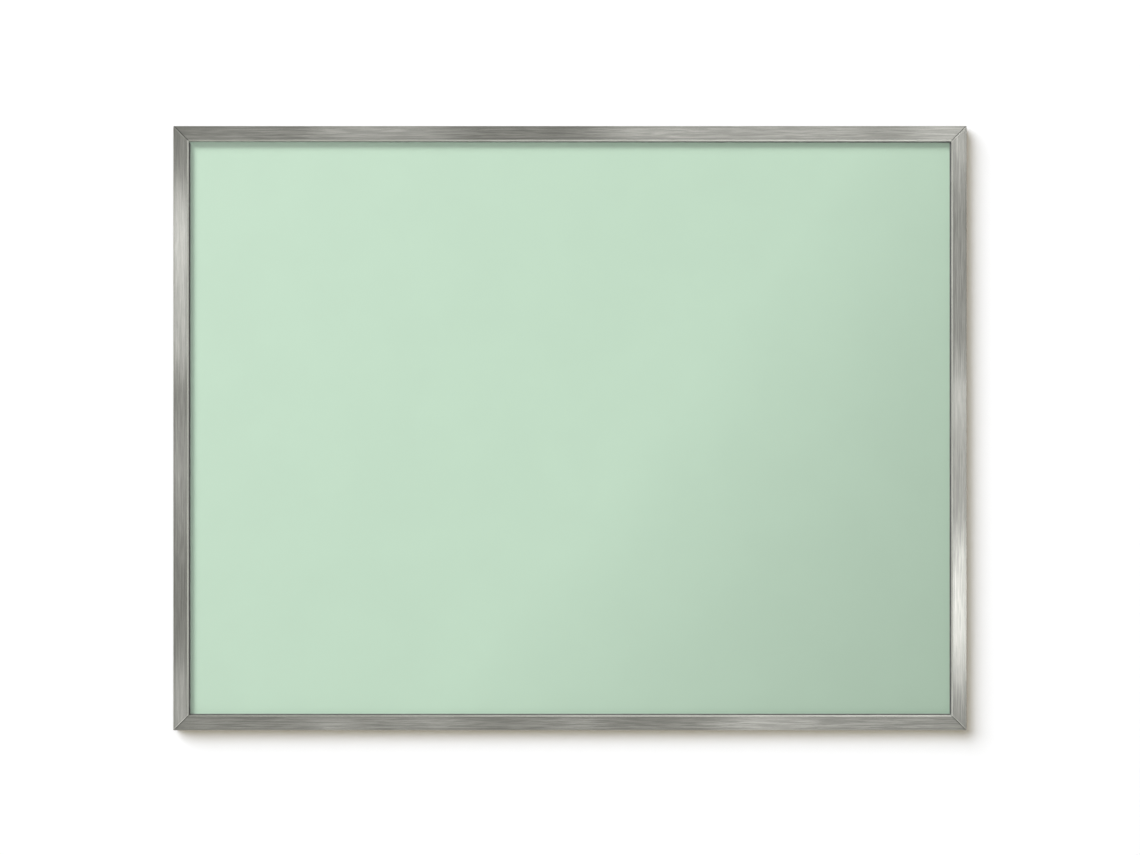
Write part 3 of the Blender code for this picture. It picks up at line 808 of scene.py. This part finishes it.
def bright_zinc():
    """Bright zinc plate over turned and pressed steel."""
    colours = bpy.context.scene.board_colours
    material, tree, shader = new_finish("bright_zinc", METAL)
    cast = noise(tree, grain=240.0, detail=3.0, distortion=0.4)
    pits = noise(tree, grain=2200.0, detail=3.0)
    warmed = remap(tree, cast, between=(0.4, 0.7), gives=(0.0, 0.6))
    base = mixed(tree, warmed, opaque(colours.zinc), WARM_ZINC)
    roughness = remap(tree, pits, between=NOISE_SPAN, gives=(0.22, 0.40))
    lay_on(tree, shader, base, roughness, bumped(tree, pits, strength=0.25, depth=0.00004))
    return material


def mill_aluminium():
    """Aluminium as extruded, with die lines along X and darker, rougher patches."""
    colours = bpy.context.scene.board_colours
    material, tree, shader = new_finish("mill_aluminium", METAL)
    lines = noise(tree, grain=(2.0, 1500.0, 1500.0), detail=3.0)
    patches = noise(tree, grain=(9.0, 70.0, 70.0), detail=5.0, distortion=0.6)
    base = mixed(
        tree,
        remap(tree, lines, between=NOISE_SPAN, gives=(0.0, 1.0)),
        shaded(colours.mill_aluminium, 0.82),
        shaded(colours.mill_aluminium, 1.06),
    )
    dulled = remap(tree, patches, between=(0.5, 0.75), gives=(0.0, 0.45))
    colour = mixed(tree, dulled, base, shaded(colours.mill_aluminium, 0.72))
    roughness = remap(tree, patches, between=NOISE_SPAN, gives=(0.33, 0.52))
    lay_on(tree, shader, colour, roughness, bumped(tree, lines, strength=0.3, depth=0.00005))
    shader.inputs["Anisotropic"].default_value = MILL_ANISOTROPY
    return material


def finish(maker):
    """The finish that the maker function gives, made once and then found under the function's name."""
    return bpy.data.materials.get(maker.__name__) or maker()


# Modelling

def clear_selection():
    """Deselects every object, in object mode."""
    if bpy.context.mode != "OBJECT":
        bpy.ops.object.mode_set(mode="OBJECT")
    bpy.ops.object.select_all(action="DESELECT")


def only(piece):
    """Makes the piece the active object and the only one selected."""
    clear_selection()
    piece.select_set(True)
    bpy.context.view_layer.objects.active = piece


def edit(piece, mode="FACE"):
    """Opens the piece in edit mode with nothing selected."""
    only(piece)
    bpy.ops.object.mode_set(mode="EDIT")
    bpy.ops.mesh.select_mode(type=mode)
    bpy.ops.mesh.select_all(action="DESELECT")


def pick_faces(piece, wanted):
    """Selects the faces that wanted(centre, normal) accepts, in edit mode."""
    bm = bmesh.from_edit_mesh(piece.data)
    for face in bm.faces:
        face.select_set(bool(wanted(face.calc_center_median(), face.normal)))
    bmesh.update_edit_mesh(piece.data)


def pick_edges(piece, wanted):
    """Selects the edges that wanted(edge) accepts, in edit mode."""
    bm = bmesh.from_edit_mesh(piece.data)
    for line in bm.edges:
        line.select_set(bool(wanted(line)))
    bmesh.update_edit_mesh(piece.data)


def pick_points(piece, wanted):
    """Selects the vertices that wanted(place) accepts, in edit mode."""
    bm = bmesh.from_edit_mesh(piece.data)
    for point in bm.verts:
        point.select_set(bool(wanted(point.co)))
    bmesh.update_edit_mesh(piece.data)


def push_in(depth):
    """Extrudes what is selected towards -Y, in edit mode."""
    bpy.ops.mesh.extrude_region_move(TRANSFORM_OT_translate={"value": (0, -depth, 0)})


def apply_modifiers(piece):
    """Applies every modifier of the piece."""
    only(piece)
    for modifier in list(piece.modifiers):
        bpy.ops.object.modifier_apply(modifier=modifier.name)


def nodes_named(start):
    """The CAD nodes whose names start so, in order."""
    return sorted(node for node in frame["nodes"] if node.startswith(start))


def merged_copy(node, name):
    """A new piece with a CAD node's shape, its loose triangles merged into flat faces."""
    only(frame["nodes"][node])
    bpy.ops.object.duplicate()
    piece = bpy.context.active_object
    bpy.ops.object.parent_clear(type="CLEAR_KEEP_TRANSFORM")
    piece.name = name
    piece.data.name = name
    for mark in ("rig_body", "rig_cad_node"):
        del piece[mark]
    edit(piece)
    bpy.ops.mesh.select_all(action="SELECT")
    bpy.ops.mesh.remove_doubles(threshold=MERGE)
    bpy.ops.mesh.dissolve_limited(angle_limit=FLAT)
    bpy.ops.object.mode_set(mode="OBJECT")
    return piece


def break_edges(piece, width):
    """Rounds the piece's sharp edges with an applied bevel."""
    bevel = piece.modifiers.new("edges", "BEVEL")
    bevel.width = width
    bevel.segments = EDGE_SEGMENTS
    bevel.limit_method = "ANGLE"
    bevel.angle_limit = SMOOTH
    apply_modifiers(piece)


def cut_with(piece, cutter):
    """Cuts the cutter out of the piece and removes it."""
    boolean = piece.modifiers.new("cut", "BOOLEAN")
    boolean.operation = "DIFFERENCE"
    boolean.solver = "EXACT"
    boolean.object = cutter
    apply_modifiers(piece)
    bpy.data.objects.remove(cutter, do_unlink=True)


def settle(piece, body, material, node):
    """Puts the piece's place in its mesh, finishes it, hands it to its body, and hides its CAD node."""
    only(piece)
    bpy.ops.object.transform_apply(location=True, rotation=True, scale=True)
    bpy.ops.object.shade_smooth_by_angle(angle=SMOOTH)
    flatten = piece.modifiers.new("flat_faces", "WEIGHTED_NORMAL")
    flatten.mode = "FACE_AREA"
    flatten.keep_sharp = True
    apply_modifiers(piece)
    piece.data.materials.clear()
    piece.data.materials.append(material)
    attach(piece, body)
    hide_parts(node)


def dress(node, material):
    """Gives a CAD node that stays a finish."""
    mesh = frame["nodes"][node].data
    mesh.materials.clear()
    mesh.materials.append(material)


def copied(piece, name, move, turn):
    """A copy of a finished model with its own mesh, turned about Y and moved."""
    only(piece)
    bpy.ops.object.duplicate()
    copy = bpy.context.active_object
    copy.name = name
    copy.data.name = name
    copy.rotation_euler.y = turn
    copy.location = move
    return copy


# Operators

class BOARD_OT_rails(bpy.types.Operator):
    """Models the four brushed lengths of the frame, with their mitres and edges broken"""

    bl_idname = "board.rails"
    bl_label = "Frame rails"

    def execute(self, context):
        sizes = context.scene.board_sizes
        for node, brushed in (
            ("top_rail", brushed_across),
            ("bottom_rail", brushed_across),
            ("left_stile", brushed_upright),
            ("right_stile", brushed_upright),
        ):
            piece = merged_copy(node, f"{node}_brushed")
            edit(piece, "EDGE")
            pick_edges(piece, self.on_front_mitre)
            bpy.ops.mesh.bevel(
                offset=sizes.mitre_edge,
                segments=EDGE_SEGMENTS,
                affect="EDGES",
                clamp_overlap=True,
            )
            bpy.ops.object.mode_set(mode="OBJECT")
            break_edges(piece, sizes.metal_edge)
            settle(piece, "board", finish(brushed), node)
        return {"FINISHED"}

    def on_front_mitre(self, edge):
        """True on the edges where a mitre meets the front face or its chamfer."""
        if len(edge.link_faces) != 2:
            return False
        in_mitre = [self.is_mitre(face.normal) for face in edge.link_faces]
        if in_mitre[0] == in_mitre[1]:
            return False
        surface = edge.link_faces[in_mitre.index(False)]
        return surface.normal.y < FACES_FRONT

    def is_mitre(self, normal):
        """True for the normal of a mitre's cut, at 45 degrees and level from front to back."""
        return abs(normal.y) < MITRE_LEVEL and MITRE_SLANT[0] < abs(normal.x) < MITRE_SLANT[1]


class BOARD_OT_gaskets(bpy.types.Operator):
    """Models the glazing gasket between the frame and the glass, smooth along its lip"""

    bl_idname = "board.gaskets"
    bl_label = "Gaskets"

    def execute(self, context):
        for side in ("top", "bottom", "left", "right"):
            node = f"gasket_{side}"
            piece = merged_copy(node, f"{node}_rubber")
            if side == "top":
                self.lean(piece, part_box(node)[0].z, context.scene.board_sizes.gasket_lean)
            settle(piece, "board", finish(moulded_rubber), node)
        return {"FINISHED"}

    def lean(self, piece, lip, amount):
        """Pulls the right end of the lip down along its mitre."""
        edit(piece, "VERT")
        pick_points(piece, lambda place: place.x > 0 and place.z < lip + LIP_END)
        bpy.ops.transform.translate(value=(-amount, 0, -amount))
        bpy.ops.object.mode_set(mode="OBJECT")


class BOARD_OT_panel(bpy.types.Operator):
    """Finishes the layers of the writing panel: glass, coat, steel, core and rear sheet"""

    bl_idname = "board.panel"
    bl_label = "Writing panel"

    def execute(self, context):
        dress("glass_panel", finish(toughened_glass))
        dress("colour_coat", finish(fired_mint))
        dress("steel_sheet", finish(zinc_spangle))
        dress("core_board", finish(pressed_fibre))
        dress("rear_sheet", finish(zinc_spangle))
        return {"FINISHED"}


class BOARD_OT_springs(bpy.types.Operator):
    """Models the bowed panel springs, with their edges rolled"""

    bl_idname = "board.springs"
    bl_label = "Panel springs"

    def execute(self, context):
        sizes = context.scene.board_sizes
        for node in nodes_named("panel_spring_"):
            piece = merged_copy(node, f"{node}_strip")
            break_edges(piece, sizes.metal_edge)
            settle(piece, "board", finish(blued_strip), node)
        return {"FINISHED"}


class BOARD_OT_keys(bpy.types.Operator):
    """Finishes the corner keys and models their set screws, with hexagon sockets"""

    bl_idname = "board.keys"
    bl_label = "Corner keys and screws"

    def execute(self, context):
        for node in nodes_named("corner_key_"):
            dress(node, finish(bright_zinc))
        nodes = nodes_named("key_screw_")
        low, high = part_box(nodes[0])
        model = self.set_screw(context.scene.board_sizes, (high.x - low.x) / 2, high.y - low.y)
        for number, node in enumerate(nodes):
            low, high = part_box(node)
            piece = copied(model, f"{node}_socket", (low + high) / 2, number * KEY_SCREW_TURN)
            settle(piece, "board", finish(bright_zinc), node)
        bpy.data.objects.remove(model, do_unlink=True)
        return {"FINISHED"}

    def set_screw(self, sizes, radius, length):
        """A headless screw centred on the origin, its socket facing +Y."""
        clear_selection()
        bpy.ops.mesh.primitive_cylinder_add(
            vertices=KEY_SCREW_SIDES,
            radius=radius,
            depth=length,
            rotation=LAID_ALONG_Y,
        )
        screw = bpy.context.active_object
        bpy.ops.object.transform_apply(location=False, rotation=True, scale=False)
        edit(screw)
        pick_faces(screw, lambda centre, normal: abs(normal.y) > SQUARE_ON)
        bpy.ops.mesh.bevel(offset=radius * KEY_SCREW_RIM_SHARE, segments=EDGE_SEGMENTS, affect="EDGES")
        clear_selection()
        bpy.ops.mesh.primitive_cylinder_add(
            vertices=SOCKET_SIDES,
            radius=sizes.socket_span / 2,
            depth=length * SOCKET_SHARE,
            location=(0, length / 2, 0),
            rotation=LAID_ALONG_Y,
        )
        cut_with(screw, bpy.context.active_object)
        return screw


class BOARD_OT_cleats(bpy.types.Operator):
    """Models the board cleat and the wall cleat, with their extruded edges broken"""

    bl_idname = "board.cleats"
    bl_label = "Cleats"

    def execute(self, context):
        sizes = context.scene.board_sizes
        for node, body in (("board_cleat", "board"), ("wall_cleat", "wall_side")):
            piece = merged_copy(node, f"{node}_extruded")
            break_edges(piece, sizes.metal_edge)
            settle(piece, body, finish(mill_aluminium), node)
        return {"FINISHED"}


class BOARD_OT_cleat_screws(bpy.types.Operator):
    """Models the pan-head screws of the board cleat, with cross recesses"""

    bl_idname = "board.cleat_screws"
    bl_label = "Cleat screws"

    def execute(self, context):
        nodes = nodes_named("cleat_screw_")
        low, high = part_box(nodes[0])
        model = self.pan_head(context.scene.board_sizes, (high.x - low.x) / 2, high.y - low.y)
        for number, node in enumerate(nodes):
            low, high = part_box(node)
            middle = (low + high) / 2
            place = (middle.x, high.y, middle.z)
            piece = copied(model, f"{node}_pan_head", place, number * CLEAT_SCREW_TURN)
            settle(piece, "board", finish(bright_zinc), node)
        bpy.data.objects.remove(model, do_unlink=True)
        return {"FINISHED"}

    def pan_head(self, sizes, radius, length):
        """A screw whose crown touches y = 0, its tip towards -Y."""
        head = length * HEAD_SHARE
        point = length * POINT_SHARE
        shank = radius * SHANK_SHARE
        clear_selection()
        bpy.ops.mesh.primitive_cylinder_add(
            vertices=CLEAT_SCREW_SIDES,
            radius=radius,
            depth=head,
            location=(0, -head / 2, 0),
            rotation=LAID_ALONG_Y,
        )
        screw = bpy.context.active_object
        bpy.ops.object.transform_apply(location=True, rotation=True, scale=False)
        edit(screw)
        pick_faces(screw, lambda centre, normal: normal.y > SQUARE_ON)
        bpy.ops.mesh.bevel(offset=head * CROWN_SHARE, segments=CROWN_SEGMENTS, affect="EDGES")
        bpy.ops.mesh.select_all(action="DESELECT")
        pick_faces(screw, lambda centre, normal: normal.y < -SQUARE_ON)
        bpy.ops.mesh.inset(thickness=radius - shank, depth=0)
        push_in(length - head - point)
        push_in(point)
        bpy.ops.transform.resize(value=(TIP_SHARE, 1, TIP_SHARE))
        for across, up in (
            (sizes.recess_span, sizes.recess_width),
            (sizes.recess_width, sizes.recess_span),
        ):
            clear_selection()
            bpy.ops.mesh.primitive_cube_add(size=1, scale=(across, sizes.recess_depth * 2, up))
            cut_with(screw, bpy.context.active_object)
        return screw


class BOARD_OT_bumpers(bpy.types.Operator):
    """Models the rubber bumpers, with a ring groove and a dimple in the wall face"""

    bl_idname = "board.bumpers"
    bl_label = "Bumpers"

    def execute(self, context):
        sizes = context.scene.board_sizes
        for node in ("bumper_left", "bumper_right"):
            piece = merged_copy(node, f"{node}_pad")
            self.shape_wall_face(piece, sizes, *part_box(node))
            break_edges(piece, sizes.metal_edge)
            settle(piece, "board", finish(moulded_rubber), node)
        return {"FINISHED"}

    def shape_wall_face(self, piece, sizes, low, high):
        """Insets the wall face three times, and pushes in its middle and its outer ring."""
        middle = (low + high) / 2
        outside = (high.x - low.x) / 2 - sizes.groove_from_edge
        inside = outside - sizes.groove_width * RING_REACH_SHARE

        def on_wall_face(centre, normal):
            """True on the bumper's face against the wall."""
            return normal.y > SQUARE_ON and centre.y > high.y - MERGE

        def on_ring(centre, normal):
            """True on that face between the first inset and the second."""
            return on_wall_face(centre, normal) and inside < (centre - middle).xz.length < outside

        edit(piece)
        pick_faces(piece, on_wall_face)
        for width in (sizes.groove_from_edge, sizes.groove_width, sizes.groove_width):
            bpy.ops.mesh.inset(thickness=width, depth=0)
        push_in(sizes.groove_depth)
        bpy.ops.transform.resize(value=(DIMPLE_SHARE, 1, DIMPLE_SHARE), center_override=middle)
        bpy.ops.mesh.select_all(action="DESELECT")
        pick_faces(piece, on_ring)
        push_in(sizes.groove_depth)
        bpy.ops.object.mode_set(mode="OBJECT")


class BOARD_OT_studio(bpy.types.Operator):
    """Sets up the wall, the floor, the lamps, the world and the camera"""

    bl_idname = "board.studio"
    bl_label = "Studio"

    def execute(self, context):
        studio = context.scene.board_studio
        add_camera(studio)
        add_world(studio)
        add_wall(studio)
        add_floor()
        add_screen(studio)
        add_lamps(studio)
        context.scene.view_settings.view_transform = "Standard"
        return {"FINISHED"}


def facing(direction, along):
    """The rotation that turns -Z to the direction, and X as near as it goes to along."""
    back = -direction.normalized()
    side = (along - along.dot(back) * back).normalized()
    return Matrix((side, back.cross(side), back)).transposed().to_euler()


def add_camera(studio):
    """A camera square to the middle of the board."""
    clear_selection()
    place = MIDDLE + Vector((0, -studio.camera_distance, studio.camera_rise))
    bpy.ops.object.camera_add(location=place, rotation=(math.pi / 2, 0, 0))
    camera = bpy.context.active_object
    camera.data.lens = camera.data.sensor_width * studio.camera_distance / studio.view_width
    bpy.context.scene.camera = camera


def background(tree, strength):
    """The world's white, at a strength."""
    made = tree.nodes.new("ShaderNodeBackground")
    made.inputs["Color"].default_value = WHITE
    made.inputs["Strength"].default_value = strength
    return made.outputs["Background"]


def add_world(studio):
    """White to the camera, to gloss and through glass, and a low even light on the rest."""
    world = bpy.data.worlds.new("studio")
    bpy.context.scene.world = world
    world.use_nodes = True
    tree = world.node_tree
    tree.nodes.remove(tree.nodes["Background"])
    path = tree.nodes.new("ShaderNodeLightPath")
    first_bounce = maths(tree, "LESS_THAN", path.outputs["Diffuse Depth"], 1.0)
    shown = maths(tree, "MULTIPLY", ray_is(tree, "Camera", "Glossy", "Transmission"), first_bounce)
    surface = either(tree, shown, background(tree, studio.world_level), background(tree, 1.0))
    tree.links.new(surface, tree.nodes["World Output"].inputs["Surface"])


def add_stage(name, place, rotation, size, seen_by):
    """An oblong sheet of the studio, hidden from all kinds of rays but those named."""
    clear_selection()
    bpy.ops.mesh.primitive_plane_add(size=1, location=place, rotation=rotation)
    sheet = bpy.context.active_object
    sheet.name = name
    sheet.scale = (*size, 1.0)
    bpy.ops.object.transform_apply(location=True, rotation=True, scale=True)
    for kind in RAYS:
        setattr(sheet, f"visible_{kind}", kind in seen_by)
    sheet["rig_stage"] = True
    return sheet


def lifted_paint(tree, colour, lift):
    """Matt paint, lifted towards white for the eye and the gloss but not as light on other things."""
    paint = tree.nodes.new("ShaderNodeBsdfDiffuse")
    paint.inputs["Color"].default_value = colour
    both = tree.nodes.new("ShaderNodeAddShader")
    tree.links.new(paint.outputs["BSDF"], both.inputs[0])
    tree.links.new(glow(tree, lift, ray_is(tree, "Camera", "Glossy")), both.inputs[1])
    return both.outputs["Shader"]


def add_wall(studio):
    """A white wall just behind the board, seen from the front only and not mirrored in the board's back."""
    place = Vector((0, WALL_GAP, MIDDLE.z))
    wall = add_stage("wall", place, facing(WALLWARDS, RIGHTWARDS), WALL_SIZE, ("camera", "glossy"))
    material, tree, surface = new_surface("wall")
    paint = lifted_paint(tree, opaque(studio.wall_colour), opaque(studio.wall_lift))
    level = maths(tree, "LESS_THAN", apart(tree, own_axis(tree, "Z"), MIDDLE.z), HALF_HEIGHT)
    beside = maths(tree, "LESS_THAN", apart(tree, own_axis(tree, "X"), MIDDLE.x), RIGHT)
    not_camera = maths(tree, "SUBTRACT", 1.0, ray_is(tree, "Camera"))
    behind_board = maths(tree, "MULTIPLY", maths(tree, "MULTIPLY", level, beside), not_camera)
    geometry = tree.nodes.new("ShaderNodeNewGeometry")
    open_here = maths(tree, "MAXIMUM", geometry.outputs["Backfacing"], behind_board)
    tree.links.new(either(tree, open_here, paint, see_through(tree, WHITE)), surface)
    wall.data.materials.append(material)


def add_floor():
    """A pale floor, well below the board."""
    place = Vector((0, 0, BOTTOM - FLOOR_DROP))
    floor = add_stage("floor", place, (0, 0, 0), FLOOR_SIZE, RAYS)
    material, tree, surface = new_surface("floor")
    tree.links.new(lifted_paint(tree, FLOOR_COLOUR, FLOOR_LIFT), surface)
    floor.data.materials.append(material)


def add_screen(studio):
    """A grey screen behind the camera, seen only in the gloss of the metal and the glass."""
    place = MIDDLE - Vector((0, SCREEN_DISTANCE, 0))
    screen = add_stage("screen", place, facing(WALLWARDS, RIGHTWARDS), SCREEN_SIZE, ("glossy",))
    material, tree, surface = new_surface("screen")
    tree.links.new(glow(tree, WHITE, studio.screen_level), surface)
    material.cycles.emission_sampling = "NONE"
    screen.data.materials.append(material)


def add_lamp(kind, name, place, rotation, power, receivers, blockers):
    """A lamp that shows neither itself nor its reflection, linked to what it lights and what shades it."""
    clear_selection()
    bpy.ops.object.light_add(type=kind, location=place, rotation=rotation)
    lamp = bpy.context.active_object
    lamp.name = name
    lamp.data.energy = power
    lamp.visible_camera = False
    lamp.visible_glossy = False
    lamp.light_linking.receiver_collection = receivers
    lamp.light_linking.blocker_collection = blockers
    return lamp


def add_panel(name, place, rotation, size, power, receivers, blockers):
    """An oblong lamp."""
    lamp = add_lamp("AREA", name, place, rotation, power, receivers, blockers)
    lamp.data.shape = "RECTANGLE"
    lamp.data.size, lamp.data.size_y = size
    return lamp


def add_card(name, place, rotation, size, strength, mirror, board):
    """A panel that shows only in the gloss of one piece, the mirror; a strength of 1 is white there."""
    power = strength * WATTS_FOR_WHITE * size[0] * size[1]
    card = add_panel(name, place, rotation, size, power, gathered(f"{name}_mirror", [mirror]), board)
    card.visible_glossy = True
    card.visible_diffuse = False
    card.visible_transmission = False
    card.data.color = CARD_COLOUR
    return card


def gathered(name, objects):
    """A collection of the objects, for a lamp to be linked to."""
    made = bpy.data.collections.new(name)
    for thing in objects:
        made.objects.link(thing)
    return made


def fade(card, stretch, ends):
    """Lets the card's strength go from the first end to the second, over a stretch of its own X."""
    card.data.use_nodes = True
    tree = card.data.node_tree
    geometry = tree.nodes.new("ShaderNodeNewGeometry")
    parts = tree.nodes.new("ShaderNodeSeparateXYZ")
    tree.links.new(geometry.outputs["Parametric"], parts.inputs["Vector"])
    strength = remap(tree, parts.outputs["X"], between=stretch, gives=ends)
    feed(tree, tree.nodes["Emission"].inputs["Strength"], strength)


def add_highlights(studio, board):
    """Cards behind the camera, each seen only in the gloss of one rail, where the mirror line meets it."""
    reach = 1 + CARD_DISTANCE / studio.camera_distance
    turned = facing(WALLWARDS, RIGHTWARDS)
    for number, (name, along, length, strength) in enumerate(HIGHLIGHTS):
        low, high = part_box(name)
        middle = (low + high) / 2
        if high.z - low.z > high.x - low.x:
            spot = Vector((middle.x, FRONT, MIDDLE.z + along))
            size = (CARD_BREADTH, length * reach)
        else:
            spot = Vector((along, FRONT, middle.z))
            size = (length * reach, CARD_BREADTH)
        place = MIDDLE + (spot - MIDDLE) * reach - Vector((0, CARD_DISTANCE, 0))
        rail = bpy.data.objects[f"{name}_brushed"]
        add_card(f"card_{number}", place, turned, size, strength, rail, board)


def add_ridge_cards(board):
    """Cards beside the board, each seen only in the chamfer of the rail across from it."""
    for name, first, last in RIDGES:
        low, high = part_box(name)
        middle = (low + high) / 2
        inwards = (MIDDLE - middle) * Vector((1, 0, 1))
        across = inwards.normalized()
        place = middle + across * RIDGE_CARD_ACROSS - Vector((0, RIDGE_CARD_OUT, 0))
        turned = facing(-across, across.cross(WALLWARDS))
        rail = bpy.data.objects[f"{name}_brushed"]
        card = add_card(f"ridge_card_{name}", place, turned, RIDGE_CARD_SIZE, 1.0, rail, board)
        runs_on = (turned.to_matrix() @ RIGHTWARDS).dot(DOWN_RIGHT) > 0
        fade(card, RIDGE_FADE, (first, last) if runs_on else (last, first))


def add_glare(board):
    """A card seen only in the glass, black to the middle and paler towards the upper left."""
    place = MIDDLE - Vector((0, CARD_DISTANCE, 0))
    turned = facing(WALLWARDS, GLARE_RISE)
    glass = frame["nodes"]["glass_panel"]
    card = add_card("glare", place, turned, GLARE_SIZE, GLARE_STRENGTH, glass, board)
    fade(card, GLARE_FADE, (0.0, 1.0))


def add_key(studio, board, stage):
    """The soft key at the upper left, a flag that lets its light fall off at the lower right, and its sun."""
    place = MIDDLE + KEY_WAY * KEY_DISTANCE
    turned = facing(-KEY_WAY, FALL_OFF_LINE)
    add_panel("key_on_board", place, turned, (KEY_SIZE, KEY_SIZE), studio.key_power, board, None)
    away = (turned.to_matrix() @ Vector((0, -1, 0))).normalized()
    lit_edge = place + away * KEY_SIZE / 2
    start = MIDDLE + Vector((FALL_OFF_START, 0, 0))
    flag_edge = start + (lit_edge - start) * FLAG_SHARE
    flag_place = flag_edge + away * FLAG_SIZE / 2
    add_stage("flag", flag_place, turned, (FLAG_SIZE, FLAG_SIZE), ("shadow",))
    sun_turned = facing(-SUN_WAY, RIGHTWARDS)
    sun = add_lamp("SUN", "key_on_wall", place, sun_turned, studio.sun_strength, stage, board)
    sun.data.angle = studio.sun_angle


def add_lamps(studio):
    """The key, a fill close above the camera, the wall's own fill, a rear lamp, and the cards."""
    board = gathered("board_pieces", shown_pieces())
    stage = gathered("stage_pieces", [bpy.data.objects["wall"], bpy.data.objects["floor"]])
    add_key(studio, board, stage)
    for name, way, size, power, lit in (
        ("fill", FILL_WAY, FILL_SIZE, studio.fill_power, board),
        ("fill_on_wall", WALL_FILL_WAY, WALL_FILL_SIZE, studio.wall_fill_power, stage),
        ("rear", REAR_WAY, REAR_SIZE, studio.rear_power, board),
    ):
        add_panel(name, MIDDLE + way, facing(-way, RIGHTWARDS), (size, size), power, lit, board)
    add_highlights(studio, board)
    add_ridge_cards(board)
    add_glare(board)


class BOARD_PT_looks(bpy.types.Panel):
    """Lists the steps, colours and sizes of the board"""

    bl_idname = "BOARD_PT_looks"
    bl_label = "Glass Board"
    bl_space_type = "VIEW_3D"
    bl_region_type = "UI"
    bl_category = "Glass Board"

    def draw(self, context):
        column = self.layout.column()
        for step in STEPS:
            column.operator(step.bl_idname)
        for group in (context.scene.board_colours, context.scene.board_sizes, context.scene.board_studio):
            box = self.layout.box()
            for name in group.__annotations__:
                box.prop(group, name)


STEPS = [
    BOARD_OT_rails,
    BOARD_OT_gaskets,
    BOARD_OT_panel,
    BOARD_OT_springs,
    BOARD_OT_keys,
    BOARD_OT_cleats,
    BOARD_OT_cleat_screws,
    BOARD_OT_bumpers,
    BOARD_OT_studio,
]
CLASSES = [BoardColours, BoardSizes, BoardStudio, *STEPS, BOARD_PT_looks]


def register():
    """Adds the classes and the three groups of properties."""
    for item in CLASSES:
        bpy.utils.register_class(item)
    bpy.types.Scene.board_colours = PointerProperty(type=BoardColours)
    bpy.types.Scene.board_sizes = PointerProperty(type=BoardSizes)
    bpy.types.Scene.board_studio = PointerProperty(type=BoardStudio)


def unregister():
    """Takes them away again."""
    del bpy.types.Scene.board_studio
    del bpy.types.Scene.board_sizes
    del bpy.types.Scene.board_colours
    for item in reversed(CLASSES):
        bpy.utils.unregister_class(item)


def main():
    """Registers the add-on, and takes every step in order."""
    register()
    bpy.ops.board.rails()
    bpy.ops.board.gaskets()
    bpy.ops.board.panel()
    bpy.ops.board.springs()
    bpy.ops.board.keys()
    bpy.ops.board.cleats()
    bpy.ops.board.cleat_screws()
    bpy.ops.board.bumpers()
    bpy.ops.board.studio()


if __name__ == "__main__":
    main()
